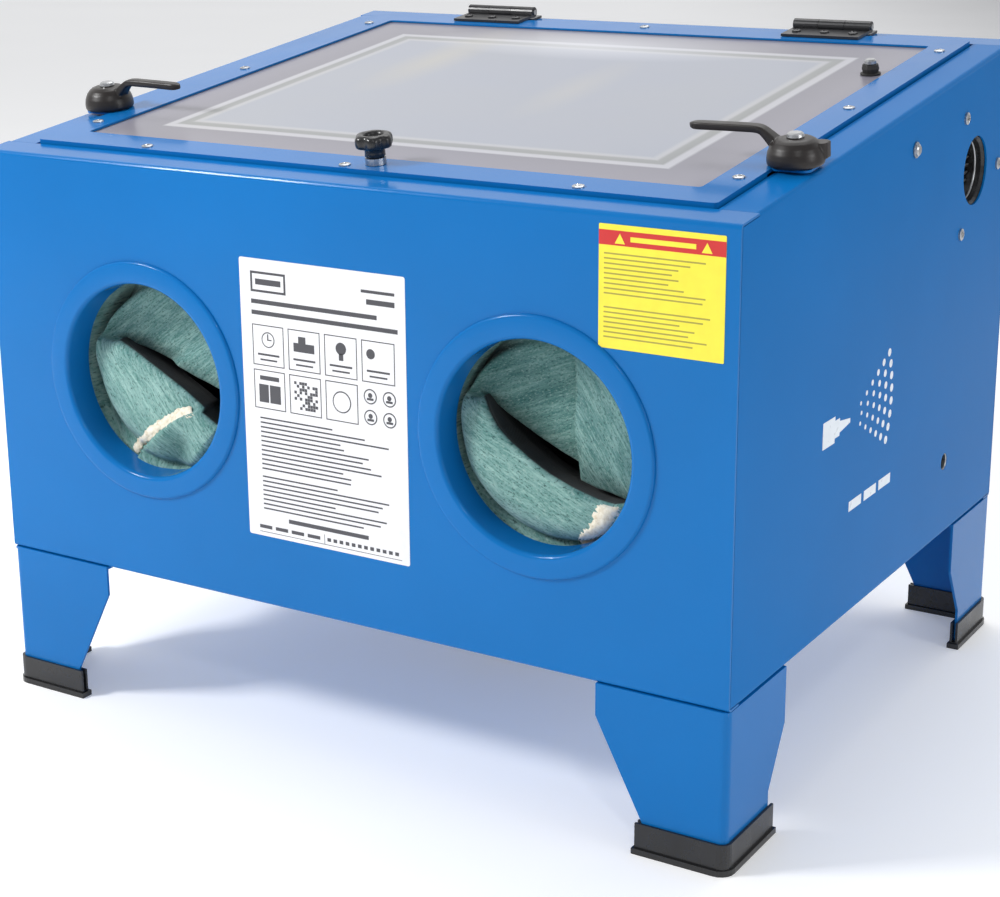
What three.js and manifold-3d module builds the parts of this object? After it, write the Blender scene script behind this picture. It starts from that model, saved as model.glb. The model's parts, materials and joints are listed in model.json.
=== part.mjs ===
// Bench-top sandblast cabinet: a sheet-steel box on four legs with a sloping top lid, two arm ports
// with gauntlets, a suction blast gun on its hook, an exhaust filter and an inside lamp.
// Millimetres, +Z up, +Y to the back, origin on the floor at the centre of the footprint.

import * as THREE from 'three';
import { mergeVertices } from 'three/addons/utils/BufferGeometryUtils.js';
import Module from 'manifold-3d';

const wasm = await Module();
wasm.setup();

// ---------------------------------------------------------------- driving dimensions

const WIDTH = 590;
const DEPTH = 488;
const LEG_HEIGHT = 109;
const FRONT_HEIGHT = 299;
const REAR_HEIGHT = 362;
const SHEET = 1.5;
const BEND = 3;
const FIT = 0.3;

const HALF_W = WIDTH / 2;
const HALF_D = DEPTH / 2;
const FRONT_TOP = LEG_HEIGHT + FRONT_HEIGHT;
const REAR_TOP = LEG_HEIGHT + REAR_HEIGHT;
const SLOPE = Math.atan2(REAR_HEIGHT - FRONT_HEIGHT, DEPTH);
const SLOPE_LENGTH = DEPTH / Math.cos(SLOPE);

// Top flanges around the lid opening, and the bottom flanges that the legs bolt to.
const SIDE_FLANGE = 26;
const END_FLANGE = 24;
const BOTTOM_FLANGE = 14;
const SEAM = 0.6;

// Lid opening in the top plane: x from -OPEN_X to OPEN_X, s from OPEN_S0 to OPEN_S1.
const OPEN_X = HALF_W - SIDE_FLANGE;
const OPEN_S0 = END_FLANGE;
const OPEN_S1 = SLOPE_LENGTH - END_FLANGE;
const SEAT_DROP = 15;
const SEAT_LEDGE = 14;
const GASKET_WIDTH = 9.5;
const RIM_DEPTH = 8;

// Lid frame, window and the strip that holds the window up against the frame.
const LID_GAP = 1.6;
const LID_X = OPEN_X - LID_GAP;
const LID_S0 = OPEN_S0 + LID_GAP;
const LID_S1 = OPEN_S1 - LID_GAP;
const LID_TOP = 3;
const WINDOW_X = 244;
const WINDOW_S0 = 53;
const WINDOW_S1 = 442;
const PANE = 4;
const PANE_LAP = 8;

// Hinges on the rear edge.
const HINGE_S = 478;
const HINGE_RISE = 7.2;
const HINGE_X = 152;
const HINGE_LENGTH = 64;
const KNUCKLE_R = 4.5;
const PIN_R = 2.2;

// Latch handles on the lid's side rails.
const LATCH_X = 278;
const LATCH_S = 115;
const HUB_R = 18;
const SHAFT_R = 4;
const TONGUE_REACH = 16.5;
const ARM_REACH = 72;

// Lifting knob on the lid's front rail, and the bolt through the window.
const KNOB_X = 17;
const KNOB_S = 40;
const BOLT_X = 232;
const BOLT_S = 354;

// Arm ports in the front panel.
const PORT_X = 158;
const PORT_Z = 255.5;
const PORT_R = 69;
const RING_R = 85.2;
const COLLAR_WALL = 1.8;
const COLLAR_END = -224;
const CUFF_R = 71.8;
const CANVAS = 2.5;
const GLOVE_LENGTH = 236;

// Exhaust on the right panel, the gun hook's screw and the air inlet.
const EXHAUST_Y = 162;
const EXHAUST_Z = 382.5;
const EXHAUST_R = 25.5;
const EXHAUST_FLANGE_R = 57;
const FILTER_R = 39;
const FILTER_LENGTH = 88;
const HOOK_Y = 33.5;
const HOOK_SCREW_Z = 414.3;
const INLET_Y = 128;
const INLET_Z = 168;
const INLET_BORE_R = 5.7;

// Legs and feet.
const LEG_SHEET = 2;
const LEG_BEND = 5;
const LEG_FRONT = 92;
const LEG_SIDE = 86;
const LEG_TOE_FRONT = 58;
const LEG_TOE_SIDE = 63;
const LEG_TOE_Z = 21;
const LEG_BOTTOM = 5.2;
const FOOT_WALL = 1.8;
const FOOT_LIP = 1.6;

// Grate, hopper and drain.
const GRATE_Z = 150;
const RAIL_LEG = 20;
const HOPPER_Z = 46;
const DRAIN_R = 20;
const DRAIN_BOTTOM = 30;

// Gun and pickup tube.
const GUN_AT = [262, HOOK_Y, 368];
const TRIGGER_AT = [12, -23];
const PICKUP_AT = [207, 160];
const LEAD_R = 3;

// Lamp on the rear wall.
const LAMP_X = 120;
const LAMP_Z = 432;
const SOCKET_X = 165;
const SOCKET_HALF_X = 11;
const SOCKET_HALF_Z = 8;

// ---------------------------------------------------------------- materials

function finish(color, roughness, metalness) {
  return new THREE.MeshStandardMaterial({ color, roughness, metalness });
}

const bluePaint = finish(0x2f74c4, 0.35, 0.1);
const blackPlastic = finish(0x191919, 0.5, 0);
const handlePlastic = finish(0x2a2624, 0.55, 0);
const rubber = finish(0x1c1c1c, 0.8, 0);
const foam = finish(0x303236, 0.95, 0);
const zincSteel = finish(0xb9bcc0, 0.35, 0.9);
const aluminium = finish(0xaab0b6, 0.4, 0.9);
const ceramic = finish(0xe6e0d2, 0.6, 0);
const canvas = finish(0x6f9d90, 0.95, 0);
const frostedGlass = new THREE.MeshStandardMaterial({
  color: 0xc4c6ca, roughness: 0.3, metalness: 0, transparent: true, opacity: 0.6,
});
const lampPlastic = finish(0xf2f2ee, 0.4, 0);
const filterPaper = finish(0xd8d2bd, 0.9, 0);

// ---------------------------------------------------------------- solids

function toSolid(geometry) {
  const bare = geometry.clone();
  bare.deleteAttribute('normal');
  bare.deleteAttribute('uv');
  const merged = mergeVertices(bare, 1e-4);
  return new wasm.Manifold(new wasm.Mesh({
    numProp: 3,
    vertProperties: new Float32Array(merged.attributes.position.array),
    triVerts: new Uint32Array(merged.index.array),
  }));
}

function toGeometry(solid) {
  const mesh = solid.getMesh();
  const geometry = new THREE.BufferGeometry();
  geometry.setAttribute('position', new THREE.BufferAttribute(new Float32Array(mesh.vertProperties), 3));
  geometry.setIndex(new THREE.BufferAttribute(new Uint32Array(mesh.triVerts), 1));
  geometry.computeVertexNormals();
  return geometry;
}

const join = (...parts) => toGeometry(parts.map(toSolid).reduce((a, b) => a.add(b)));
const cut = (part, ...tools) => (
  toGeometry(tools.map(toSolid).reduce((a, b) => a.subtract(b), toSolid(part))));
const overlap = (a, b) => toGeometry(toSolid(a).intersect(toSolid(b)));

function box(x0, x1, y0, y1, z0, z1) {
  const geometry = new THREE.BoxGeometry(x1 - x0, y1 - y0, z1 - z0);
  return geometry.translate((x0 + x1) / 2, (y0 + y1) / 2, (z0 + z1) / 2);
}

function outline(points) {
  return new THREE.Shape(points.map(([a, b]) => new THREE.Vector2(a, b)));
}

function extrude(shape, depth, curveSegments = 6) {
  return new THREE.ExtrudeGeometry(shape, { depth, bevelEnabled: false, curveSegments });
}

// Extrusions along each axis: the outline is in (y, z), (x, z) or (x, y).
function alongX(shape, x0, x1, curveSegments) {
  const basis = new THREE.Matrix4().makeBasis(
    new THREE.Vector3(0, 1, 0), new THREE.Vector3(0, 0, 1), new THREE.Vector3(1, 0, 0));
  return extrude(shape, x1 - x0, curveSegments).applyMatrix4(basis).translate(x0, 0, 0);
}

function alongY(shape, y0, y1, curveSegments) {
  const basis = new THREE.Matrix4().makeBasis(
    new THREE.Vector3(1, 0, 0), new THREE.Vector3(0, 0, 1), new THREE.Vector3(0, -1, 0));
  return extrude(shape, y1 - y0, curveSegments).applyMatrix4(basis).translate(0, y1, 0);
}

function alongZ(shape, z0, z1, curveSegments) {
  return extrude(shape, z1 - z0, curveSegments).translate(0, 0, z0);
}

// Round solids about the x, y or z axis, from profile points (radius, position along the axis).
function turned(points, axis, segments = 24) {
  const profile = points.map(([r, h]) => new THREE.Vector2(r, h));
  if (points[0][0] > 0) {
    profile.push(profile[0].clone());
  }
  const geometry = new THREE.LatheGeometry(profile, segments);
  const area = THREE.ShapeUtils.area(profile);
  if (area < 0) {
    flip(geometry);
  }
  if (axis === 'z') {
    geometry.rotateX(Math.PI / 2);
  }
  if (axis === 'x') {
    geometry.rotateZ(-Math.PI / 2);
  }
  return geometry;
}

function rod(radius, axis, from, to, segments = 16) {
  return turned([[0, from], [radius, from], [radius, to], [0, to]], axis, segments);
}

function flip(geometry) {
  const index = geometry.index.array;
  for (let i = 0; i < index.length; i += 3) {
    const first = index[i];
    index[i] = index[i + 1];
    index[i + 1] = first;
  }
}

// The same piece on the other side: scaled by -1 along x and, or, y.
function mirrored(geometry, sx, sy = 1) {
  const indexed = geometry.index ? geometry.clone() : mergeVertices(geometry.clone(), 1e-4);
  indexed.scale(sx, sy, 1);
  if (sx * sy < 0) {
    flip(indexed);
  }
  return indexed;
}

// Outline of a folded sheet: path is its outer face, and the metal lies on the inner side of each bend.
function foldedSheet(path, thickness, radius, steps = 4) {
  const at = path.map(([a, b]) => new THREE.Vector2(a, b));
  const outer = [];
  const inner = [];
  const first = at[1].clone().sub(at[0]);
  const second = at[2].clone().sub(at[1]);
  const side = Math.sign(first.x * second.y - first.y * second.x);
  const normal = (d) => new THREE.Vector2(-d.y, d.x).multiplyScalar(side);
  const station = (point, n) => {
    outer.push(point.clone());
    inner.push(point.clone().addScaledVector(n, thickness));
  };
  for (let i = 0; i < at.length; i += 1) {
    if (i === 0 || i === at.length - 1) {
      const along = i === 0 ? first : at[i].clone().sub(at[i - 1]);
      station(at[i], normal(along.normalize()));
      continue;
    }
    const before = at[i].clone().sub(at[i - 1]).normalize();
    const after = at[i + 1].clone().sub(at[i]).normalize();
    const turn = Math.acos(THREE.MathUtils.clamp(before.dot(after), -1, 1));
    const start = at[i].clone().addScaledVector(before, -radius * Math.tan(turn / 2));
    const centre = start.clone().addScaledVector(normal(before), radius);
    for (let k = 0; k <= steps; k += 1) {
      const n = normal(before).rotateAround(new THREE.Vector2(), side * turn * k / steps);
      station(centre.clone().addScaledVector(n, -radius), n);
    }
  }
  return new THREE.Shape([...outer, ...inner.reverse()]);
}

function roundedRect(x0, x1, y0, y1, radius) {
  const shape = new THREE.Shape();
  shape.moveTo(x0 + radius, y0);
  shape.lineTo(x1 - radius, y0);
  shape.absarc(x1 - radius, y0 + radius, radius, -Math.PI / 2, 0);
  shape.lineTo(x1, y1 - radius);
  shape.absarc(x1 - radius, y1 - radius, radius, 0, Math.PI / 2);
  shape.lineTo(x0 + radius, y1);
  shape.absarc(x0 + radius, y1 - radius, radius, Math.PI / 2, Math.PI);
  shape.lineTo(x0, y0 + radius);
  shape.absarc(x0 + radius, y0 + radius, radius, Math.PI, 3 * Math.PI / 2);
  return shape;
}

function rectRing(outer, inner, z0, z1, radius = 2) {
  const shape = roundedRect(...outer, radius);
  shape.holes.push(roundedRect(...inner, radius));
  return alongZ(shape, z0, z1, 3);
}

// A tube or solid cord along a smooth curve through hand-picked points.
function sweep(points, radius, steps, sides = 10) {
  const stops = points.map((p) => new THREE.Vector3(...p));
  const curve = new THREE.CatmullRomCurve3(stops, false, 'centripetal');
  const section = new THREE.Shape();
  section.absarc(0, 0, radius, 0, 2 * Math.PI);
  return new THREE.ExtrudeGeometry(section, {
    extrudePath: curve, steps, bevelEnabled: false, curveSegments: sides / 2,
  });
}

// ---------------------------------------------------------------- scene graph

const cabinet = new THREE.Group();
const topPlane = new THREE.Group();
topPlane.position.set(0, -HALF_D, FRONT_TOP);
topPlane.rotation.x = SLOPE;
cabinet.add(topPlane);

function add(name, geometry, material, parent = cabinet) {
  const mesh = new THREE.Mesh(geometry, material);
  mesh.name = name;
  parent.add(mesh);
  return mesh;
}

// Turns a geometry that was made in the top plane's own axes into the cabinet's axes.
function fromTopPlane(geometry) {
  return geometry.rotateX(SLOPE).translate(0, -HALF_D, FRONT_TOP);
}

const SIDES = [['left', -1], ['right', 1]];

// ---------------------------------------------------------------- cabinet body

function frontPanel() {
  const topInner = [-HALF_D + END_FLANGE * Math.cos(SLOPE), FRONT_TOP + END_FLANGE * Math.sin(SLOPE)];
  const bottomInner = [-HALF_D + BOTTOM_FLANGE, LEG_HEIGHT];
  const path = [topInner, [-HALF_D, FRONT_TOP], [-HALF_D, LEG_HEIGHT], bottomInner];
  const sheet = alongX(foldedSheet(path, SHEET, BEND), -HALF_W, HALF_W);
  const holes = SIDES.map(([, side]) => {
    const hole = rod(PORT_R + COLLAR_WALL + 2 * FIT, 'y', -HALF_D - 5, -HALF_D + 5, 32);
    return hole.translate(side * PORT_X, 0, PORT_Z);
  });
  return cut(sheet, ...holes);
}

function rearPanel() {
  const topInner = [HALF_D - END_FLANGE * Math.cos(SLOPE), REAR_TOP - END_FLANGE * Math.sin(SLOPE)];
  const path = [[HALF_D - BOTTOM_FLANGE, LEG_HEIGHT], [HALF_D, LEG_HEIGHT], [HALF_D, REAR_TOP], topInner];
  const sheet = alongX(foldedSheet(path, SHEET, BEND), -HALF_W, HALF_W);
  const socketX = SOCKET_HALF_X + FIT;
  const socketZ = SOCKET_HALF_Z + FIT;
  const socketHole = box(-socketX, socketX, HALF_D - 5, HALF_D + 5, -socketZ, socketZ)
    .translate(SOCKET_X, 0, LAMP_Z);
  return cut(sheet, socketHole);
}

// One side wall with its top flange, trimmed clear of the front and rear panels' flanges.
function sidePanel(side) {
  const reach = HALF_D - SHEET - SEAM;
  const topPath = [[OPEN_X, 0], [HALF_W, 0], [HALF_W, -420]];
  const sloped = fromTopPlane(alongY(foldedSheet(topPath, SHEET, BEND), -60, SLOPE_LENGTH + 60));
  const upper = overlap(sloped, box(0, WIDTH, -reach, reach, LEG_HEIGHT + 60, REAR_TOP + 50));
  const lowPath = [[HALF_W, LEG_HEIGHT + 90], [HALF_W, LEG_HEIGHT], [HALF_W - BOTTOM_FLANGE, LEG_HEIGHT]];
  const lower = alongY(foldedSheet(lowPath, SHEET, BEND), -reach, reach);
  const flangeEnd = HALF_D - BOTTOM_FLANGE - FIT;
  const lowCorners = [[-HALF_D, -flangeEnd], [flangeEnd, HALF_D]].flatMap(([y0, y1]) => [
    box(0, HALF_W - SHEET, y0, y1, LEG_HEIGHT - 1, LEG_HEIGHT + 2 * BEND),
    box(0, WIDTH, y0, y1, LEG_HEIGHT - 1, LEG_HEIGHT + SHEET + SEAM),
  ]);
  const underFlange = -SHEET - SEAM;
  const topCorners = [[-60, END_FLANGE + FIT], [SLOPE_LENGTH - END_FLANGE - FIT, SLOPE_LENGTH + 60]]
    .map(([s0, s1]) => fromTopPlane(box(0, WIDTH, s0, s1, underFlange, 40)));
  const notch = fromTopPlane(box(OPEN_X - 5, LATCH_X + 8, LATCH_S - 8, LATCH_S + 8, -10, 5));
  let panel = cut(join(upper, lower), ...lowCorners, ...topCorners, notch);
  if (side > 0) {
    const wall = (radius, y, z) => rod(radius, 'x', HALF_W - 5, HALF_W + 5, 32).translate(0, y, z);
    panel = cut(
      panel,
      wall(EXHAUST_R, EXHAUST_Y, EXHAUST_Z),
      wall(3.2, HOOK_Y, HOOK_SCREW_Z),
      wall(6.5, INLET_Y, INLET_Z),
    );
  }
  return mirrored(panel, side);
}

// Upside-down rectangular frustum: half sizes at the top and at the bottom.
function frustum(topX, topY, bottomX, bottomY, z0, z1) {
  const geometry = new THREE.BoxGeometry(2, 2, z1 - z0).translate(0, 0, (z0 + z1) / 2);
  const at = geometry.attributes.position;
  for (let i = 0; i < at.count; i += 1) {
    const top = at.getZ(i) > (z0 + z1) / 2;
    at.setX(i, at.getX(i) * (top ? topX : bottomX));
    at.setY(i, at.getY(i) * (top ? topY : bottomY));
  }
  return geometry;
}

// Shallow four-sided hopper that hangs on the bottom flanges and ends in the drain spout.
function hopper() {
  const rest = LEG_HEIGHT + SHEET + FIT;
  const outX = HALF_W - SHEET - 1;
  const outY = HALF_D - SHEET - 1;
  const mouthX = HALF_W - BOTTOM_FLANGE - 3;
  const mouthY = HALF_D - BOTTOM_FLANGE - 3;
  const flange = box(-outX, outX, -outY, outY, rest, rest + SHEET);
  const shell = frustum(mouthX, mouthY, 30, 30, HOPPER_Z, rest + 0.5);
  const space = frustum(mouthX - 2, mouthY - 2, 28, 28, HOPPER_Z + SHEET, rest + SHEET + 0.5);
  const spout = rod(DRAIN_R, 'z', DRAIN_BOTTOM, HOPPER_Z + 1, 28);
  const bore = rod(DRAIN_R - 2, 'z', DRAIN_BOTTOM - 1, HOPPER_Z + 10, 28);
  return cut(join(flange, shell, spout), space, bore);
}

function drainCap() {
  const wall = DRAIN_R + FIT;
  const top = DRAIN_BOTTOM + 12;
  const floor = DRAIN_BOTTOM - FIT;
  return turned([
    [0, floor - 4], [wall + 4.5, floor - 4], [wall + 4.5, floor - 1], [wall + 2.5, floor + 1],
    [wall + 2.5, top], [wall, top], [wall, floor], [0, floor],
  ], 'z', 28);
}

// Welded frame under the flanges: an upright wall and the ledge that carries the gasket.
function lidSeat() {
  const wall = 1.5;
  const gap = 0.2;
  const outer = [-OPEN_X - gap - wall, OPEN_X + gap + wall, OPEN_S0 - gap - wall, OPEN_S1 + gap + wall];
  const face = [-OPEN_X - gap, OPEN_X + gap, OPEN_S0 - gap, OPEN_S1 + gap];
  const inner = [-OPEN_X + SEAT_LEDGE, OPEN_X - SEAT_LEDGE, OPEN_S0 + SEAT_LEDGE, OPEN_S1 - SEAT_LEDGE];
  const upright = rectRing(outer, face, -SEAT_DROP - 1, -SHEET - FIT);
  const ledge = rectRing(outer, inner, -SEAT_DROP - SHEET, -SEAT_DROP);
  const slots = SIDES.map(([, side]) => {
    const slot = box(OPEN_X - 5, OPEN_X + 5, LATCH_S - 18.5, LATCH_S + 10.5, -9.5, 0);
    return mirrored(slot, side);
  });
  return cut(join(upright, ledge), ...slots);
}

function lidGasket() {
  const outer = [-OPEN_X + 0.4, OPEN_X - 0.4, OPEN_S0 + 0.4, OPEN_S1 - 0.4];
  const halfX = OPEN_X - GASKET_WIDTH;
  const inner = [-halfX, halfX, OPEN_S0 + GASKET_WIDTH, OPEN_S1 - GASKET_WIDTH];
  return rectRing(outer, inner, -SEAT_DROP + FIT, -RIM_DEPTH - FIT);
}

function workGrate() {
  const x = HALF_W - SHEET - 4;
  const y = HALF_D - SHEET - 4;
  const plate = box(-x, x, -y, y, GRATE_Z, GRATE_Z + 2);
  const tubeHole = rod(11, 'z', GRATE_Z - 1, GRATE_Z + 3, 20).translate(...PICKUP_AT, 0);
  return cut(plate, tubeHole);
}

function grateRail(side) {
  const wall = HALF_W - SHEET - FIT;
  const top = GRATE_Z - FIT;
  const path = [[wall, top - RAIL_LEG], [wall, top], [wall - RAIL_LEG, top]];
  return mirrored(alongY(foldedSheet(path, 2, 2.5), -205, 205), side);
}

// ---------------------------------------------------------------- legs and feet

// Right rear leg, then mirrored: a corner bent from one sheet, tapered, with a flange on top.
function leg(sx, sy) {
  const x = HALF_W + FIT;
  const y = HALF_D + FIT;
  const top = LEG_HEIGHT - FIT;
  const plan = [[x - LEG_FRONT, y], [x, y], [x, y - LEG_SIDE]];
  const corner = alongZ(foldedSheet(plan, LEG_SHEET, LEG_BEND, 5), LEG_BOTTOM, top);
  const endFace = outline([
    [x - LEG_FRONT, top + 1], [x + 1, top + 1], [x + 1, LEG_BOTTOM - 1],
    [x - LEG_TOE_FRONT, LEG_BOTTOM - 1], [x - LEG_TOE_FRONT, LEG_TOE_Z], [x - LEG_FRONT, LEG_TOE_Z + 66],
  ]);
  const sideFace = outline([
    [y - LEG_SIDE, top + 1], [y + 1, top + 1], [y + 1, LEG_BOTTOM - 1],
    [y - LEG_TOE_SIDE, LEG_BOTTOM - 1], [y - LEG_TOE_SIDE, LEG_TOE_Z + 10], [y - LEG_SIDE, LEG_TOE_Z + 49],
  ]);
  const blank = join(alongY(endFace, y - 6, y + 1), alongX(sideFace, x - 6, x + 1));
  const flange = join(
    box(x - LEG_FRONT, x - 1, y - 22, y - 1, top - LEG_SHEET, top),
    box(x - 22, x - 1, y - LEG_SIDE, y - 1, top - LEG_SHEET, top),
  );
  const boltHoles = [[x - 75, y - 13], [x - 13, y - 70]]
    .map(([hx, hy]) => rod(3.3, 'z', top - 5, top + 5, 12).translate(hx, hy, 0));
  return mirrored(cut(join(overlap(corner, blank), flange), ...boltHoles), sx, sy);
}

// Plastic shoe that the leg's lower edge stands in, with a lip around its sole.
function foot(sx, sy) {
  const x = HALF_W + FIT;
  const y = HALF_D + FIT;
  const plan = (grow, thickness, radius, overrun = 0) => foldedSheet([
    [x - LEG_TOE_FRONT - 2 - grow - overrun, y + grow],
    [x + grow, y + grow],
    [x + grow, y - LEG_TOE_SIDE - 2 - grow - overrun],
  ], thickness, radius, 5);
  const wall = FIT + FOOT_WALL;
  const channel = LEG_SHEET + 2 * FIT;
  const skin = channel + 2 * FOOT_WALL;
  const body = alongZ(plan(wall, skin, LEG_BEND + wall), 2, LEG_TOE_Z);
  const lip = alongZ(plan(wall + FOOT_LIP, skin + 2 * FOOT_LIP, LEG_BEND + wall + 2 * FOOT_LIP), 0, 4);
  const slot = alongZ(plan(FIT, channel, LEG_BEND + FIT, 5), LEG_BOTTOM - FIT, LEG_TOE_Z + 5);
  return mirrored(cut(join(body, lip), slot), sx, sy);
}

// ---------------------------------------------------------------- arm ports

function portRing() {
  const back = -HALF_D - FIT;
  const face = back - 2.2;
  const outer = PORT_R + COLLAR_WALL;
  return turned([
    [PORT_R, COLLAR_END], [PORT_R, face + 4], [PORT_R + 0.6, face + 1.6], [PORT_R + 2.2, face + 0.3],
    [PORT_R + 4, face], [RING_R - 1.6, face], [RING_R - 0.4, face + 0.7], [RING_R, back],
    [outer, back], [outer, COLLAR_END],
  ], 'y', 32);
}

// Gauntlet: a canvas sleeve with the hand at its end, open at the port and hanging down inside.
function glove() {
  const cuff = CUFF_R;
  const start = -HALF_D + SHEET + 1;
  const outside = [
    [cuff + CANVAS, 0], [cuff + CANVAS, 20], [cuff - 3, 50], [cuff - 11, 95], [cuff - 22, 146],
    [cuff - 34, 184], [cuff - 50, 216], [0, GLOVE_LENGTH],
  ];
  const inside = [
    [0, GLOVE_LENGTH - 4], [cuff - 52, 211], [cuff - 37, 181], [cuff - 25, 144], [cuff - 14, 94],
    [cuff - 5.5, 49], [cuff, 19], [cuff, 0],
  ];
  const shape = turned([...inside.reverse(), ...outside.reverse()], 'y', 20);
  const at = shape.attributes.position;
  for (let i = 0; i < at.count; i += 1) {
    const along = Math.max(0, at.getY(i) - 24) / (GLOVE_LENGTH - 24);
    at.setZ(i, at.getZ(i) * (1 - 0.3 * along) - 62 * along * along);
  }
  return shape.translate(0, start, 0);
}

function gloveClamp() {
  const inner = CUFF_R + CANVAS + 0.8;
  const band = turned([[inner, -237], [inner + 1.4, -237], [inner + 1.4, -227], [inner, -227]], 'y', 28);
  const screwBox = box(-9, 9, -237, -227, inner + 0.6, inner + 8);
  return join(band, screwBox);
}

// ---------------------------------------------------------------- exhaust

function exhaustFlange() {
  const back = HALF_W - SHEET - FIT;
  const throat = EXHAUST_R - 2;
  const disc = turned([
    [throat, back - 30], [throat, back - 2], [throat + 1.5, back], [EXHAUST_FLANGE_R, back],
    [EXHAUST_FLANGE_R, back - 3], [throat + 3, back - 3], [throat + 3, back - 30],
  ], 'x', 28);
  const ribs = [0, 1, 2].map((k) => (
    box(back - 17, back - 11, -throat - 1, throat + 1, -1, 1).rotateX(k * Math.PI / 3)));
  const hub = rod(8, 'x', back - 17, back - 11, 14);
  return join(disc, hub, ...ribs);
}

function exhaustFilter() {
  const pleats = 18;
  const start = HALF_W - SHEET - FIT - 30 - FIT;
  const points = [];
  for (let k = 0; k < 2 * pleats; k += 1) {
    const radius = k % 2 ? FILTER_R : FILTER_R - 8;
    const angle = Math.PI * k / pleats;
    points.push([radius * Math.cos(angle), radius * Math.sin(angle)]);
  }
  const star = outline(points);
  const bore = new THREE.Path();
  bore.absarc(0, 0, EXHAUST_R - 2, 0, 2 * Math.PI);
  star.holes.push(bore);
  const pack = alongX(star, start - FILTER_LENGTH, start, 12);
  const lid = rod(FILTER_R + 1, 'x', start - FILTER_LENGTH - 3, start - FILTER_LENGTH + 1, 32);
  return join(pack, lid);
}

// ---------------------------------------------------------------- air inlet, hook and gun

function airInlet() {
  const wall = HALF_W - SHEET;
  return turned([
    [INLET_BORE_R, wall - 14], [INLET_BORE_R, wall + 0.6], [6.2, wall + 1.2], [6.2, wall - FIT],
    [11, wall - FIT], [11, wall - 8], [7.5, wall - 8], [7.5, wall - 16], [4, wall - 16], [4, wall - 30],
    [2.2, wall - 30], [2.2, wall - 14],
  ], 'x', 16);
}

function gunHook() {
  const wall = HALF_W - SHEET - FIT;
  const prongTop = GUN_AT[2] - 30 - FIT;
  const plate = box(wall - 2, wall, HOOK_Y - 19, HOOK_Y + 19, prongTop - 8, HOOK_SCREW_Z + 11);
  const prongs = [-1, 1].map((k) => {
    const y = HOOK_Y + k * 14.5;
    return box(GUN_AT[0] - 16, wall - 1, y - 3, y + 3, prongTop - 6, prongTop);
  });
  const hole = rod(3.2, 'x', wall - 5, wall + 5, 16).translate(0, HOOK_Y, HOOK_SCREW_Z);
  return cut(join(plate, ...prongs), hole);
}

function hookScrew() {
  const wall = HALF_W + FIT;
  const profile = [
    [0, wall - 9], [2.8, wall - 9], [2.8, wall], [5.6, wall], [5.6, wall + 0.8], [4.4, wall + 0.8],
    [4.2, wall + 2], [3, wall + 2.9], [0, wall + 3.1],
  ];
  return turned(profile, 'x', 14).translate(0, HOOK_Y, HOOK_SCREW_Z);
}

// The gun is made with its nozzle along +X and its handle down, then hung nozzle-down on the hook.
const gun = new THREE.Group();
gun.position.set(...GUN_AT);
gun.quaternion.setFromRotationMatrix(new THREE.Matrix4().makeBasis(
  new THREE.Vector3(0, 0, -1), new THREE.Vector3(-1, 0, 0), new THREE.Vector3(0, 1, 0)));
cabinet.add(gun);

function gunBody() {
  const receiver = turned([
    [0, -28], [12, -28], [17, -23], [17, 30], [10.5, 30], [10.5, 71], [0, 71],
  ], 'x', 18);
  const handle = box(-26, -2, -11, 11, -96, -8);
  const at = handle.attributes.position;
  for (let i = 0; i < at.count; i += 1) {
    at.setX(i, at.getX(i) + at.getZ(i) * 0.12);
  }
  const inletBoss = rod(7, 'z', -110, -90, 12).translate(-25, 0, 0);
  const suctionPort = rod(7, 'z', -34, -5, 12).translate(52, 0, 0);
  const cheeks = [-1, 1].map((k) => box(4, 20, k * 9 - 1.5, k * 9 + 1.5, -30, -10));
  const pinHole = rod(2.3, 'y', -15, 15, 14).translate(TRIGGER_AT[0], 0, TRIGGER_AT[1]);
  const suctionBore = rod(4.5, 'z', -36, -12, 8).translate(52, 0, 0);
  const airBore = rod(4, 'z', -112, -98, 8).translate(-25, 0, 0);
  return cut(join(receiver, handle, inletBoss, suctionPort, ...cheeks), pinHole, suctionBore, airBore);
}

function gunTrigger() {
  const [px, pz] = TRIGGER_AT;
  const shape = new THREE.Shape();
  shape.moveTo(px - 4.5, pz);
  shape.absarc(px, pz, 4.5, Math.PI, 0, true);
  shape.quadraticCurveTo(px + 3, pz - 22, px + 9, pz - 44);
  shape.lineTo(px + 13, pz - 56);
  shape.lineTo(px + 8.5, pz - 57);
  shape.quadraticCurveTo(px - 4, pz - 30, px - 4.5, pz);
  return cut(alongY(shape, -6.5, 6.5, 6), rod(2.3, 'y', -15, 15, 14).translate(px, 0, pz));
}

function gunNozzleNut() {
  const hex = rod(14, 'x', 71 + FIT, 84, 6);
  return cut(hex, rod(7.2, 'x', 60, 90, 20));
}

function gunNozzle() {
  return turned([[3, 72], [6.8, 72], [6.8, 84], [6, 104], [4.6, 108], [3, 108]], 'x', 20);
}

// ---------------------------------------------------------------- pickup tube and lamp lead

const PICKUP_ROUTE = [
  [207, 121.4, 190], [207, 136, 190], [207, 147, 186.5], [207, 156, 177], [207, 160, 162], [207, 160, 140],
  [203, 156, 126], [190, 145, 115], [160, 121, 103], [120, 88, 90], [80, 56, 77], [50, 32, 66.5],
];

function pickupTube() {
  const mouth = rod(5.2, 'y', 110, 131, 8).translate(207, 0, 190);
  return cut(sweep(PICKUP_ROUTE, 7, 26, 8), mouth);
}

const LEAD_ROUTE = [[LAMP_X + 3.4, 226, LAMP_Z], [LAMP_X + 14, 226, LAMP_Z], [SOCKET_X - 24, 226, LAMP_Z],
  [SOCKET_X - 15.4, 226, LAMP_Z]];

// ---------------------------------------------------------------- lamp

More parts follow.
